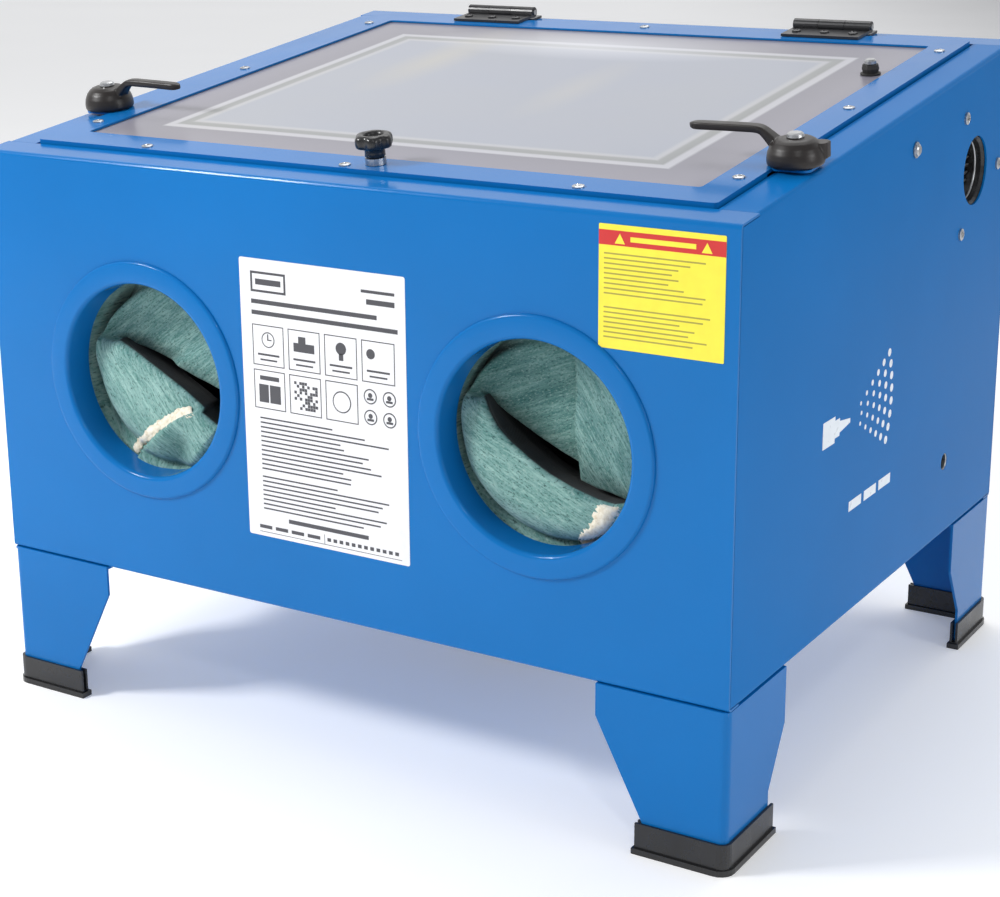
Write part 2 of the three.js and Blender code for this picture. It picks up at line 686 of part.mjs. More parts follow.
function lampHousing() {
  const back = HALF_D - SHEET - FIT;
  const path = [[back - 30, LAMP_Z - 6], [back - 30, LAMP_Z + 13], [back, LAMP_Z + 13], [back, LAMP_Z - 13]];
  const shell = alongX(foldedSheet(path, 2, 3), -LAMP_X, LAMP_X);
  const ends = [-1, 1].map((k) => {
    const x = k * (LAMP_X - 1);
    return box(x - 2, x + 2, back - 29, back - 1, LAMP_Z - 12, LAMP_Z + 12);
  });
  return join(shell, ...ends);
}

function lampLens() {
  const back = HALF_D - SHEET - FIT;
  const shape = new THREE.Shape();
  shape.moveTo(back - 3, LAMP_Z - 9);
  shape.lineTo(back - 3, LAMP_Z + 9);
  shape.lineTo(back - 27, LAMP_Z + 9);
  shape.lineTo(back - 27, LAMP_Z - 8);
  shape.quadraticCurveTo(back - 18, LAMP_Z - 19, back - 3, LAMP_Z - 9);
  return alongX(shape, -LAMP_X + 4, LAMP_X - 4, 5);
}

function lampSocket() {
  const wall = HALF_D;
  const rim = roundedRect(SOCKET_X - 16, SOCKET_X + 16, LAMP_Z - 12, LAMP_Z + 12, 4);
  const plate = alongY(rim, wall + FIT, wall + 2.3, 3);
  const body = box(-SOCKET_HALF_X, SOCKET_HALF_X, wall - 22, wall + 1, -SOCKET_HALF_Z, SOCKET_HALF_Z)
    .translate(SOCKET_X, 0, LAMP_Z);
  const recess = box(SOCKET_X - 8.5, SOCKET_X + 8.5, wall - 12, wall + 5, LAMP_Z - 4.5, LAMP_Z + 4.5);
  const pins = [-1, 1].map((k) => (
    rod(1.2, 'y', wall - 13, wall - 2, 8).translate(SOCKET_X + k * 4.4, 0, LAMP_Z)));
  const boot = rod(5, 'x', SOCKET_X - 15, SOCKET_X - 10, 14).translate(0, wall - 18, LAMP_Z);
  return join(cut(join(plate, body, boot), recess), ...pins);
}

// ---------------------------------------------------------------- lid, in the top plane's axes

function lidFrame() {
  const outer = [-LID_X, LID_X, LID_S0, LID_S1];
  const inside = [-LID_X + SHEET, LID_X - SHEET, LID_S0 + SHEET, LID_S1 - SHEET];
  const underside = LID_TOP - SHEET;
  const face = rectRing(outer, [-WINDOW_X, WINDOW_X, WINDOW_S0, WINDOW_S1], underside, LID_TOP, 3);
  const rim = rectRing(outer, inside, -RIM_DEPTH, underside, 3);
  const openings = SIDES.map(([, side]) => (
    mirrored(box(LID_X - 5, LID_X + 5, LATCH_S - 19, LATCH_S + 11, -RIM_DEPTH - 1, underside - 0.7), side)));
  const tabs = SIDES.map(([, side]) => {
    const tab = roundedRect(LID_X - 8, LATCH_X + 14, LATCH_S - 13, LATCH_S + 13, 5);
    return mirrored(alongZ(tab, underside, LID_TOP, 3), side);
  });
  const shaftHoles = SIDES.map(([, side]) => (
    rod(SHAFT_R + 0.4, 'z', -5, 10, 18).translate(side * LATCH_X, LATCH_S, 0)));
  const studHole = rod(3.5, 'z', -5, 10, 14).translate(KNOB_X, KNOB_S, 0);
  return cut(join(cut(join(face, rim), ...openings), ...tabs), ...shaftHoles, studHole);
}

const PANE_TOP = LID_TOP - SHEET - FIT;
const PANE_BOTTOM = PANE_TOP - PANE;

function windowPane() {
  const lap = PANE_LAP;
  const sheet = roundedRect(-WINDOW_X - lap, WINDOW_X + lap, WINDOW_S0 - lap, WINDOW_S1 + lap, 4);
  const hole = new THREE.Path();
  hole.absarc(BOLT_X, BOLT_S, 3, 0, 2 * Math.PI);
  sheet.holes.push(hole);
  return alongZ(sheet, PANE_BOTTOM, PANE_TOP, 8);
}

function windowRetainer() {
  const outer = [-LID_X + 8, LID_X - 8, LID_S0 + 4, LID_S1 - 4];
  const inner = [-WINDOW_X + 4, WINDOW_X - 4, WINDOW_S0 + 4, WINDOW_S1 - 4];
  const strip = rectRing(outer, inner, PANE_BOTTOM - FIT - 1.5, PANE_BOTTOM - FIT, 3);
  return cut(strip, rod(3.6, 'z', -10, 10, 14).translate(KNOB_X, KNOB_S, 0));
}

function windowBolt() {
  return turned([
    [0, -6.5], [2.5, -6.5], [2.5, -5.5], [5, -5.5], [5, PANE_BOTTOM - FIT], [2.5, PANE_BOTTOM - FIT],
    [2.5, PANE_TOP + 8], [4.3, PANE_TOP + 8], [4.3, PANE_TOP + 10], [3.2, PANE_TOP + 11.2],
    [0, PANE_TOP + 11.4],
  ], 'z', 12).translate(BOLT_X, BOLT_S, 0);
}

function windowGrommet() {
  return turned([
    [2.8, PANE_TOP + FIT], [7.4, PANE_TOP + FIT], [7.4, PANE_TOP + 1.2], [5.6, PANE_TOP + 1.8],
    [6.3, PANE_TOP + 4.5], [5.6, PANE_TOP + 7.5], [2.8, PANE_TOP + 7.7],
  ], 'z', 14).translate(BOLT_X, BOLT_S, 0);
}

function starKnob() {
  const lobes = 6;
  const head = 13;
  const shape = new THREE.Shape();
  const steps = 36;
  for (let k = 0; k < steps; k += 1) {
    const angle = 2 * Math.PI * k / steps;
    const radius = head - 1.1 + 1.1 * Math.cos(lobes * angle);
    const point = [radius * Math.cos(angle), radius * Math.sin(angle)];
    if (k === 0) {
      shape.moveTo(...point);
    } else {
      shape.lineTo(...point);
    }
  }
  const crown = alongZ(shape, 14, 23);
  const neck = turned([[0, 8], [6.2, 8], [6.8, 9], [6.8, 13], [9, 14.5], [0, 14.5]], 'z', 24);
  const recess = rod(6, 'z', 19, 30, 20);
  return cut(join(crown, neck), recess, rod(3.3, 'z', 0, 12, 14));
}

function knobStud() {
  return turned([
    [0, -7], [3, -7], [3, LID_TOP + FIT], [7, LID_TOP + FIT], [7, 7.7], [3, 7.7], [3, 11.7], [0, 11.7],
  ], 'z', 14);
}

function latchHandle() {
  const base = LID_TOP + FIT;
  const hub = turned([
    [SHAFT_R + FIT, base], [HUB_R - 2, base], [HUB_R, base + 2], [HUB_R, base + 5], [HUB_R - 2.5, base + 10],
    [HUB_R - 6.5, base + 15.5], [HUB_R - 9, base + 17], [SHAFT_R + FIT, base + 17],
  ], 'z', 22);
  const arm = new THREE.Shape();
  arm.moveTo(8, 9);
  arm.lineTo(15, 9);
  arm.quadraticCurveTo(20, 17, 27, 20);
  arm.lineTo(ARM_REACH - 5, 21);
  arm.quadraticCurveTo(ARM_REACH, 21.5, ARM_REACH, 23.5);
  arm.quadraticCurveTo(ARM_REACH, 25.5, ARM_REACH - 5, 25.6);
  arm.lineTo(25, 25.6);
  arm.quadraticCurveTo(20, 25, 16, 20);
  arm.lineTo(8, 15);
  return join(hub, alongY(arm, -4.5, 4.5, 4));
}

function latchSpindle() {
  const head = LID_TOP + FIT + 17 + FIT;
  const shaft = turned([
    [0, -6.5], [SHAFT_R, -6.5], [SHAFT_R, head], [5.6, head], [5.2, head + 1.8], [4, head + 2.6],
    [0, head + 2.8],
  ], 'z', 16);
  return join(shaft, box(0, TONGUE_REACH, -5, 5, -6.5, -3.5));
}

// ---------------------------------------------------------------- hinges, along x at the rear edge

function hingeLidLeaf() {
  const half = HINGE_LENGTH / 2;
  const third = HINGE_LENGTH / 6;
  const leaf = box(-half, half, 450, HINGE_S, LID_TOP + FIT, LID_TOP + FIT + 2);
  const knuckles = rod(KNUCKLE_R, 'x', -half, half, 20).translate(0, HINGE_S, HINGE_RISE);
  const bore = rod(PIN_R + FIT, 'x', -half - 1, half + 1, 16).translate(0, HINGE_S, HINGE_RISE);
  const room = box(-third - FIT, third + FIT, HINGE_S - 5.5, HINGE_S + 6, -2, 20);
  return cut(join(leaf, knuckles), bore, room);
}

function hingeBodyLeaf() {
  const half = HINGE_LENGTH / 2;
  const third = HINGE_LENGTH / 6;
  const leaf = box(-half, half, HINGE_S - 4, HINGE_S + 12, FIT, FIT + 1.8);
  const web = box(-third, third, HINGE_S - 3, HINGE_S + 3, 1, HINGE_RISE);
  const knuckle = rod(KNUCKLE_R, 'x', -third, third, 20).translate(0, HINGE_S, HINGE_RISE);
  const bore = rod(PIN_R + FIT, 'x', -half - 1, half + 1, 16).translate(0, HINGE_S, HINGE_RISE);
  return cut(join(leaf, web, knuckle), bore);
}

// ---------------------------------------------------------------- assembly

add('front_panel', frontPanel(), bluePaint);
add('rear_panel', rearPanel(), bluePaint);
add('hopper', hopper(), bluePaint);
add('drain_cap', drainCap(), blackPlastic);
add('work_grate', workGrate(), zincSteel);
add('lid_seat', lidSeat(), bluePaint, topPlane);
add('lid_gasket', lidGasket(), foam, topPlane);

for (const [name, side] of SIDES) {
  add(`${name}_panel`, sidePanel(side), bluePaint);
  add(`grate_rail_${name}`, grateRail(side), zincSteel);
  for (const [place, end] of [['front', -1], ['rear', 1]]) {
    add(`leg_${place}_${name}`, leg(side, end), bluePaint);
    add(`foot_${place}_${name}`, foot(side, end), blackPlastic);
  }
  add(`port_ring_${name}`, portRing(), bluePaint).position.set(side * PORT_X, 0, PORT_Z);
  add(`glove_${name}`, glove(), canvas).position.set(side * PORT_X, 0, PORT_Z);
  add(`glove_clamp_${name}`, gloveClamp(), zincSteel).position.set(side * PORT_X, 0, PORT_Z);
}

for (const [name, geometry, material] of [
  ['exhaust_flange', exhaustFlange(), blackPlastic],
  ['exhaust_filter', exhaustFilter(), filterPaper],
]) {
  add(name, geometry, material).position.set(0, EXHAUST_Y, EXHAUST_Z);
}
add('air_inlet', airInlet(), zincSteel).position.set(0, INLET_Y, INLET_Z);
add('gun_hook', gunHook(), zincSteel);
add('gun_hook_screw', hookScrew(), zincSteel);
add('pickup_tube', pickupTube(), zincSteel);
add('lamp_housing', lampHousing(), aluminium);
add('lamp_lens', lampLens(), lampPlastic);
add('lamp_socket', lampSocket(), blackPlastic);
add('lamp_lead', sweep(LEAD_ROUTE, LEAD_R, 5, 8), rubber);

add('gun_body', gunBody(), aluminium, gun);
add('gun_nozzle_nut', gunNozzleNut(), zincSteel, gun);
add('gun_nozzle', gunNozzle(), ceramic, gun);
add('gun_trigger', gunTrigger(), blackPlastic, gun);
const triggerPin = add('gun_trigger_pin', rod(2, 'y', -12, 12, 14), zincSteel, gun);
triggerPin.position.set(TRIGGER_AT[0], 0, TRIGGER_AT[1]);

add('lid_frame', lidFrame(), bluePaint, topPlane);
add('window_pane', windowPane(), frostedGlass, topPlane);
add('window_retainer', windowRetainer(), bluePaint, topPlane);
add('window_bolt', windowBolt(), zincSteel, topPlane);
add('window_grommet', windowGrommet(), rubber, topPlane);
add('star_knob', starKnob(), blackPlastic, topPlane).position.set(KNOB_X, KNOB_S, 0);
add('knob_stud', knobStud(), zincSteel, topPlane).position.set(KNOB_X, KNOB_S, 0);

for (const [name, side] of SIDES) {
  const pieces = [
    add(`latch_handle_${name}`, latchHandle(), handlePlastic, topPlane),
    add(`latch_spindle_${name}`, latchSpindle(), zincSteel, topPlane),
  ];
  for (const piece of pieces) {
    piece.position.set(side * LATCH_X, LATCH_S, 0);
    piece.rotation.z = side > 0 ? Math.PI : 0;
  }
  add(`hinge_lid_leaf_${name}`, hingeLidLeaf(), handlePlastic, topPlane).position.x = side * HINGE_X;
  add(`hinge_body_leaf_${name}`, hingeBodyLeaf(), handlePlastic, topPlane).position.x = side * HINGE_X;
  const pin = add(`hinge_pin_${name}`, rod(PIN_R, 'x', -33, 33, 14), zincSteel, topPlane);
  pin.position.set(side * HINGE_X, HINGE_S, HINGE_RISE);
}

export default cabinet;
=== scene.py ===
import json
import math
import random

import bmesh
import bpy
import numpy as np
from mathutils import Matrix, Vector, noise
from mathutils.bvhtree import BVHTree


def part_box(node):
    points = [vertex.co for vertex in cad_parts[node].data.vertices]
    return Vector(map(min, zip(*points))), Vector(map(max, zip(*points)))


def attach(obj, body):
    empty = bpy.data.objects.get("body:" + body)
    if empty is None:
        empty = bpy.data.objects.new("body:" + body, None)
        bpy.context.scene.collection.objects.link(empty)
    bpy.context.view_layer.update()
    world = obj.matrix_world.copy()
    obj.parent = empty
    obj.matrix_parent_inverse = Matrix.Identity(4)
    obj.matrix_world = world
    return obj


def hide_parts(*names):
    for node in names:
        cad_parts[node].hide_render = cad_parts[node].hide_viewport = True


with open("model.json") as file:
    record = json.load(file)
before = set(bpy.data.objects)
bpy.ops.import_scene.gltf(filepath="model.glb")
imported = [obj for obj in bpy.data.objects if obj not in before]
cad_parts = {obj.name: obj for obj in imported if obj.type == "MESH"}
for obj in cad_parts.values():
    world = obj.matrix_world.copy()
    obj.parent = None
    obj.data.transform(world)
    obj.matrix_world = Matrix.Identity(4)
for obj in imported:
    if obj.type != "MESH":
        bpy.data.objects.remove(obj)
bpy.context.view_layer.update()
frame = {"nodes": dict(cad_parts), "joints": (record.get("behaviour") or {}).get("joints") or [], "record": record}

MM = 0.001
scene = bpy.context.scene
random.seed(7)

# ---------------- places, from the frame

joints = {joint["name"]: joint for joint in frame["joints"]}
latch = joints["latch_right_turn"]
UP = Vector(latch["axis"]).normalized()
ALONG = Vector((0, UP.z, -UP.y))
SLOPE = math.atan2(-UP.y, UP.z)
LATCH_X = latch["pos_m"][0]
LATCH_S = 115 * MM
TOP_EDGE = Vector((0, *latch["pos_m"][1:])) - LATCH_S * ALONG
KNOB_X = joints["knob_turn"]["pos_m"][0]
KNOB_S = (Vector(joints["knob_turn"]["pos_m"]) - TOP_EDGE).dot(ALONG)
LID_TOP = 3 * MM

port_low, port_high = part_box("port_ring_right")
PORT_X = (port_low.x + port_high.x) / 2
PORT_Z = (port_low.z + port_high.z) / 2
RING_R = (port_high.x - port_low.x) / 2
PORT_R = 69 * MM
COLLAR_END = port_high.y
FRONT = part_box("front_panel")[0].y
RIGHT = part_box("right_panel")[1].x
exhaust_low, exhaust_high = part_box("exhaust_flange")
EXHAUST = Vector((RIGHT, (exhaust_low.y + exhaust_high.y) / 2, (exhaust_low.z + exhaust_high.z) / 2))

TOP_FRAME = Matrix.Translation(TOP_EDGE) @ Matrix((
    (1, 0, 0, 0), (0, ALONG.y, UP.y, 0), (0, ALONG.z, UP.z, 0), (0, 0, 0, 1)))
FRONT_FRAME = Matrix.Translation((0, FRONT, 0)) @ Matrix.Rotation(math.pi / 2, 4, "X")
SIDE_FRAME = Matrix.Translation((RIGHT, 0, 0)) @ Matrix((
    (0, 0, 1, 0), (1, 0, 0, 0), (0, 1, 0, 0), (0, 0, 0, 1)))


# ---------------- camera and light

PIXELS = 1000
FOCAL_PIXELS = 1998
SENSOR = 36.0
SHIFT = 0.05
CAMERA_AT = Vector((0.760, -1.261, 0.617))
YAW, PITCH, ROLL = (math.radians(a) for a in (31.60, 15.58, -0.36))

camera_data = bpy.data.cameras.new("camera")
camera_data.sensor_width = SENSOR
camera_data.lens = SENSOR * FOCAL_PIXELS / PIXELS
camera_data.shift_y = -SHIFT
camera_data.clip_start = 0.01
camera = bpy.data.objects.new("camera", camera_data)
scene.collection.objects.link(camera)
camera.matrix_world = (
    Matrix.Translation(CAMERA_AT)
    @ Matrix.Rotation(YAW, 4, "Z")
    @ Matrix.Rotation(math.pi / 2 - PITCH, 4, "X")
    @ Matrix.Rotation(ROLL, 4, "Z")
)
scene.camera = camera
scene.view_settings.view_transform = "Standard"


def area_light(name, place, target, size, power):
    data = bpy.data.lights.new(name, "AREA")
    data.shape = "RECTANGLE"
    data.size, data.size_y = size
    data.energy = power
    light = bpy.data.objects.new(name, data)
    light.location = place
    light.rotation_euler = (Vector(target) - Vector(place)).to_track_quat("-Z", "Y").to_euler()
    scene.collection.objects.link(light)


area_light("key", (-1.12, -1.22, 1.35), (-0.18, -0.2, 0.28), (0.42, 0.34), 24)
area_light("rim", (1.25, -1.7, 1.75), (0.1, -0.2, 0.25), (0.2, 0.2), 5)
area_light("overhead", (-0.3, 0.8, 2.4), (0, 0, 0.4), (1.6, 1.2), 17)
area_light("fill", (2.2, -0.15, 0.9), (0.3, 0, 0.25), (0.7, 0.7), 8)


def studio_world():
    """A room that is white behind the cabinet and dimmer on the camera's side."""
    world = bpy.data.worlds.new("studio")
    world.use_nodes = True
    tree = world.node_tree
    background = tree.nodes["Background"]
    direction = tree.nodes.new("ShaderNodeTexCoord").outputs["Generated"]
    toward = tree.nodes.new("ShaderNodeVectorMath")
    toward.operation = "DOT_PRODUCT"
    toward.inputs[1].default_value = (-0.52, 0.85, 0.1)
    tree.links.new(direction, toward.inputs[0])
    ramp = tree.nodes.new("ShaderNodeValToRGB")
    ramp.color_ramp.elements[0].position = 0.1
    ramp.color_ramp.elements[0].color = (0.41, 0.42, 0.44, 1)
    ramp.color_ramp.elements[1].position = 0.7
    ramp.color_ramp.elements[1].color = (1, 1, 1, 1)
    tree.links.new(toward.outputs["Value"], ramp.inputs[0])
    tree.links.new(ramp.outputs[0], background.inputs["Color"])
    background.inputs["Strength"].default_value = 1.0
    scene.world = world


studio_world()


# ---------------- materials

class Finish:
    """A procedural material: a Principled shader, with helpers for the nodes that feed it."""

    def __init__(self, name, **sockets):
        self.material = bpy.data.materials.new(name)
        self.material.use_nodes = True
        self.tree = self.material.node_tree
        self.shader = self.tree.nodes["Principled BSDF"]
        for socket, value in sockets.items():
            self.shader.inputs[socket.replace("_", " ")].default_value = value
        self.place = self.tree.nodes.new("ShaderNodeTexCoord").outputs["Object"]

    def node(self, kind, inputs=(), output=0, **settings):
        node = self.tree.nodes.new("ShaderNode" + kind)
        for setting, value in settings.items():
            setattr(node, setting, value)
        for socket, value in dict(inputs).items():
            if isinstance(value, bpy.types.NodeSocket):
                self.tree.links.new(value, node.inputs[socket])
            else:
                node.inputs[socket].default_value = value
        return node.outputs[output]

    def stretched(self, factors):
        return self.node("Mapping", {"Vector": self.place, "Scale": factors})

    def noise(self, scale, detail=3.0, roughness=0.5, place=None):
        return self.node("TexNoise", {
            "Vector": place or self.place, "Scale": scale, "Detail": detail, "Roughness": roughness})

    def wave(self, scale, axis):
        return self.node("TexWave", {"Vector": self.place, "Scale": scale}, output=1, bands_direction=axis)

    def math(self, operation, *values):
        return self.node("Math", dict(enumerate(values)), operation=operation)

    def separated(self):
        """The place's x, y and z, each as its own output."""
        split = self.tree.nodes.new("ShaderNodeSeparateXYZ")
        self.tree.links.new(self.place, split.inputs[0])
        return split.outputs

    def spread(self, factor, low, high, start=0.3, end=0.7):
        return self.node("MapRange", {
            "Value": factor, "From Min": start, "From Max": end, "To Min": low, "To Max": high})

    def colors(self, factor, *stops):
        node = self.tree.nodes.new("ShaderNodeValToRGB")
        ramp = node.color_ramp
        while len(ramp.elements) < len(stops):
            ramp.elements.new(0.5)
        for element, (position, color) in zip(ramp.elements, stops):
            element.position = position
            element.color = (*color, 1)
        self.tree.links.new(factor, node.inputs[0])
        return node.outputs[0]

    def mix(self, factor, a, b, blend="MIX"):
        node = self.tree.nodes.new("ShaderNodeMix")
        node.data_type = "RGBA"
        node.blend_type = blend
        for socket, value in ((0, factor), (6, a), (7, b)):
            if isinstance(value, bpy.types.NodeSocket):
                self.tree.links.new(value, node.inputs[socket])
            else:
                node.inputs[socket].default_value = value if socket == 0 else (*value, 1)
        return node.outputs[2]

    def bump(self, height, strength, distance, below=None):
        inputs = {"Height": height, "Strength": strength, "Distance": distance}
        if below:
            inputs["Normal"] = below
        return self.node("Bump", inputs)

    def feed(self, **sockets):
        for socket, value in sockets.items():
            self.tree.links.new(value, self.shader.inputs[socket.replace("_", " ")])
        return self.material


def scaled(color, factor):
    return tuple(min(1.0, part * factor) for part in color)


def painted(name, color, gloss=0.0, shine=0.11):
    """Powder coat: a slight mottle, orange peel and a gloss over it."""
    f = Finish(name, Specular_IOR_Level=shine, Coat_Weight=gloss, Coat_Roughness=0.05)
    mottle = f.noise(5, 4)
    base = f.colors(mottle, (0.3, scaled(color, 0.94)), (0.7, scaled(color, 1.06)))
    rough = f.spread(f.noise(30, 3), 0.15, 0.22)
    peel = f.bump(f.noise(420, 2), 0.012, 0.0006)
    return f.feed(Base_Color=base, Roughness=rough, Normal=peel)


def moulded(name, color, rough, grain=0.12, scale=1400):
    """Moulded plastic or rubber with a fine grain and uneven sheen."""
    f = Finish(name)
    base = f.colors(f.noise(35, 4), (0.3, scaled(color, 0.8)), (0.7, scaled(color, 1.25)))
    spread = f.spread(f.noise(60, 3), rough - 0.05, rough + 0.06)
    bump = f.bump(f.noise(scale, 2), grain, 0.0004)
    return f.feed(Base_Color=base, Roughness=spread, Normal=bump)


def plated(name, color, rough, stretch=(1, 1, 1)):
    """Bright plated or cast metal, drawn along one way where stretch says so."""
    f = Finish(name, Metallic=1.0)
    streak = f.noise(260, 3, 0.6, f.stretched(stretch))
    base = f.colors(f.noise(24, 4), (0.25, scaled(color, 0.82)), (0.75, scaled(color, 1.05)))
    spread = f.spread(streak, rough - 0.07, rough + 0.1)
    bump = f.bump(streak, 0.08, 0.0003)
    return f.feed(Base_Color=base, Roughness=spread, Normal=bump)


def canvas_finish(name, threads=False):
    """Slubbed canvas: pale and dark threads along the weave over two greens; on the sleeves also painted light on
    the folds and painted shade in the tunnel and the pocket.
    """
    f = Finish(name, Roughness=0.95, Specular_IOR_Level=0.1, Sheen_Weight=0.12)
    if threads:
        f.place = f.node("Attribute", output=1, attribute_name="threads")
        painted_light = f.node("Attribute", output=2, attribute_name="painted_light")
    slub = f.noise(60, 5, 0.65, f.stretched((0.32, 3.2, 1.0)))
    fine = f.noise(300, 3, 0.6, f.stretched((0.25, 2.6, 1.0)))
    speck = f.noise(520, 3, 0.7, f.stretched((0.8, 1.9, 1.0)))
    ground = f.colors(
        f.noise(15, 3), (0.28, (0.030, 0.115, 0.105)), (0.5, (0.062, 0.185, 0.165)),
        (0.75, (0.115, 0.26, 0.225)))
    yarn = f.colors(slub, (0.34, (0.035, 0.125, 0.115)), (0.64, (0.21, 0.36, 0.32)))
    base = f.mix(f.spread(fine, 0.25, 0.75, 0.35, 0.65), ground, yarn)
    if threads:
        # Painted light: this tint is added as much as the sleeve's attribute says, making the lit folds lighter.
        painted_light_tint = f.colors(fine, (0.35, (0.045, 0.085, 0.080)), (0.65, (0.17, 0.235, 0.225)))
        base = f.mix(painted_light, base, painted_light_tint, "ADD")
        # Painted shade: the sleeve's second attribute darkens the tunnel past the lip and the pocket by the
        # collar, where light hardly reaches.
        depth = f.node("Attribute", output=2, attribute_name="painted_shade")
        base = f.mix(depth, base, (0.006, 0.012, 0.012))
    flecked = f.mix(f.spread(speck, 0.0, 0.75, 0.56, 0.64), base, (0.022, 0.060, 0.060))
    pale = f.mix(f.spread(speck, 0.5, 0.0, 0.35, 0.43), flecked, (0.42, 0.54, 0.49))
    if threads:
        # The same painted shade darkens the flecked cloth too.
        pale = f.mix(depth, pale, (0.008, 0.014, 0.014))
    weave = f.bump(f.math("ADD", f.wave(560, "X"), f.wave(560, "Y")), 0.3, 0.0004)
    return f.feed(Base_Color=pale, Normal=f.bump(slub, 0.4, 0.0007, weave))


def tape_finish():
    """Frayed cream seam tape."""
    f = Finish("seam_tape", Roughness=0.9, Sheen_Weight=0.3)
    fray = f.noise(260, 4, 0.7)
    base = f.colors(
        fray, (0.3, (0.62, 0.52, 0.36)), (0.55, (0.86, 0.80, 0.66)), (0.8, (0.95, 0.91, 0.82)))
    return f.feed(Base_Color=base, Normal=f.bump(fray, 0.5, 0.0008))


WINDOW_LINE_X = 203 * MM
WINDOW_LINE_FRONT = 90 * MM
WINDOW_LINE_REAR = 400 * MM
WINDOW_MARGIN = 30 * MM
WINDOW_WOBBLE = 0.3 * MM
# The lamp and two reflections seen through the haze: centre and reach in x and y, colour, strength.
WINDOW_GLOWS = (
    ((-0.02, 0.150), (0.16, 0.05), (0.70, 0.71, 0.75), 0.55),
    ((-0.12, 0.08), (0.03, 0.12), (0.52, 0.47, 0.34), 0.35),
    ((0.04, 0.02), (0.025, 0.10), (0.50, 0.47, 0.38), 0.25))


def window_finish():
    """Milky pane: a pale line and a greyer one round a clearer field, with the lamp's soft glow."""
    f = Finish(
        "frosted_glass", Roughness=0.3, IOR=1.45,
        Coat_Weight=0.12, Coat_Roughness=0.12, Specular_IOR_Level=0.3)
    x, y, _ = f.separated()
    s = f.math("DIVIDE", f.math("SUBTRACT", y, TOP_EDGE.y), math.cos(SLOPE))
    from_side = f.math("SUBTRACT", WINDOW_LINE_X, f.math("ABSOLUTE", x))
    from_front = f.math("SUBTRACT", s, WINDOW_LINE_FRONT)
    from_rear = f.math("SUBTRACT", WINDOW_LINE_REAR, s)
    inward = f.math("MINIMUM", from_side, f.math("MINIMUM", from_front, from_rear))
    inward = f.math("ADD", inward, f.spread(f.noise(9, 2), -WINDOW_WOBBLE, WINDOW_WOBBLE))
    lines = f.colors(
        f.spread(inward, 0.0, 1.0, -WINDOW_MARGIN, WINDOW_MARGIN),
        (0.0, (0.25, 0.24, 0.28)), (0.46, (0.22, 0.215, 0.25)), (0.50, (0.47, 0.47, 0.50)),
        (0.58, (0.45, 0.45, 0.48)), (0.62, (0.25, 0.26, 0.26)), (0.72, (0.27, 0.28, 0.28)),
        (0.76, (0.42, 0.42, 0.44)), (0.80, (0.42, 0.43, 0.45)), (0.86, (0.34, 0.36, 0.41)))
    haze = f.colors(f.noise(4.5, 3), (0.3, (0.94, 0.95, 1.0)), (0.7, (1.0, 0.985, 0.96)))
    base = f.mix(1.0, lines, haze, "MULTIPLY")
    for (cx, cy), (wide, deep), color, share in WINDOW_GLOWS:
        spot = f.node("Mapping", {
            "Vector": f.place, "Location": (-cx / wide, -cy / deep, 0), "Scale": (1 / wide, 1 / deep, 0)})
        glow = f.node("TexGradient", {"Vector": spot}, output=1, gradient_type="SPHERICAL")
        base = f.mix(f.spread(glow, 0.0, share, 0.0, 0.9), base, color)
    return f.feed(Base_Color=base)


def paper_finish(name, color, rough=0.35):
    """Printed film: nearly flat colour, a faint mottle and a soft gloss."""
    f = Finish(name, Coat_Weight=0.2, Coat_Roughness=0.15)
    base = f.colors(f.noise(90, 3), (0.3, scaled(color, 0.95)), (0.7, scaled(color, 1.03)))
    return f.feed(Base_Color=base, Roughness=f.spread(f.noise(200, 2), rough - 0.04, rough + 0.05))


def filter_finish():
    """Pleated filter paper, dusty and matt."""
    f = Finish("filter_paper", Roughness=0.9)
    base = f.colors(f.noise(60, 4), (0.3, (0.55, 0.50, 0.40)), (0.7, (0.78, 0.73, 0.62)))
    return f.feed(Base_Color=base, Normal=f.bump(f.noise(700, 3), 0.2, 0.0004))


def lamp_finish():
    """The lamp's ribbed white cover, softly lit."""
    f = Finish("lamp_plastic", Roughness=0.35, Subsurface_Weight=0.1, Emission_Strength=0.35)
    f.shader.inputs["Emission Color"].default_value = (1, 0.98, 0.94, 1)
    base = f.colors(f.noise(20, 2), (0.3, (0.82, 0.82, 0.80)), (0.7, (0.90, 0.90, 0.88)))
    return f.feed(Base_Color=base, Normal=f.bump(f.wave(420, "X"), 0.15, 0.0005))


BLUE = (0.004, 0.152, 0.455)
finishes = {
    "blue_paint": painted("blue_paint", BLUE, 0.15),
    "zinc_steel": plated("zinc_steel", (0.50, 0.51, 0.52), 0.32, (1, 1, 4)),
    "black_plastic": moulded("black_plastic", (0.014, 0.014, 0.015), 0.28, 0.06),
    "handle_plastic": moulded("handle_plastic", (0.012, 0.0085, 0.007), 0.38, 0.12),
    "hinge_steel": moulded("hinge_steel", (0.020, 0.020, 0.022), 0.30, 0.05),
    "rubber": moulded("rubber", (0.016, 0.015, 0.015), 0.62),
    "foam": moulded("foam", (0.035, 0.035, 0.040), 0.9, 0.5, 900),
    "canvas": canvas_finish("canvas"),
    "aluminium": plated("aluminium", (0.62, 0.64, 0.66), 0.4),
    "ceramic": moulded("ceramic", (0.74, 0.70, 0.62), 0.6),
    "frosted_glass": window_finish(),
    "lamp_plastic": lamp_finish(),
    "filter_paper": filter_finish(),
}
sleeve_canvas = canvas_finish("sleeve_canvas", threads=True)
seam_tape = tape_finish()
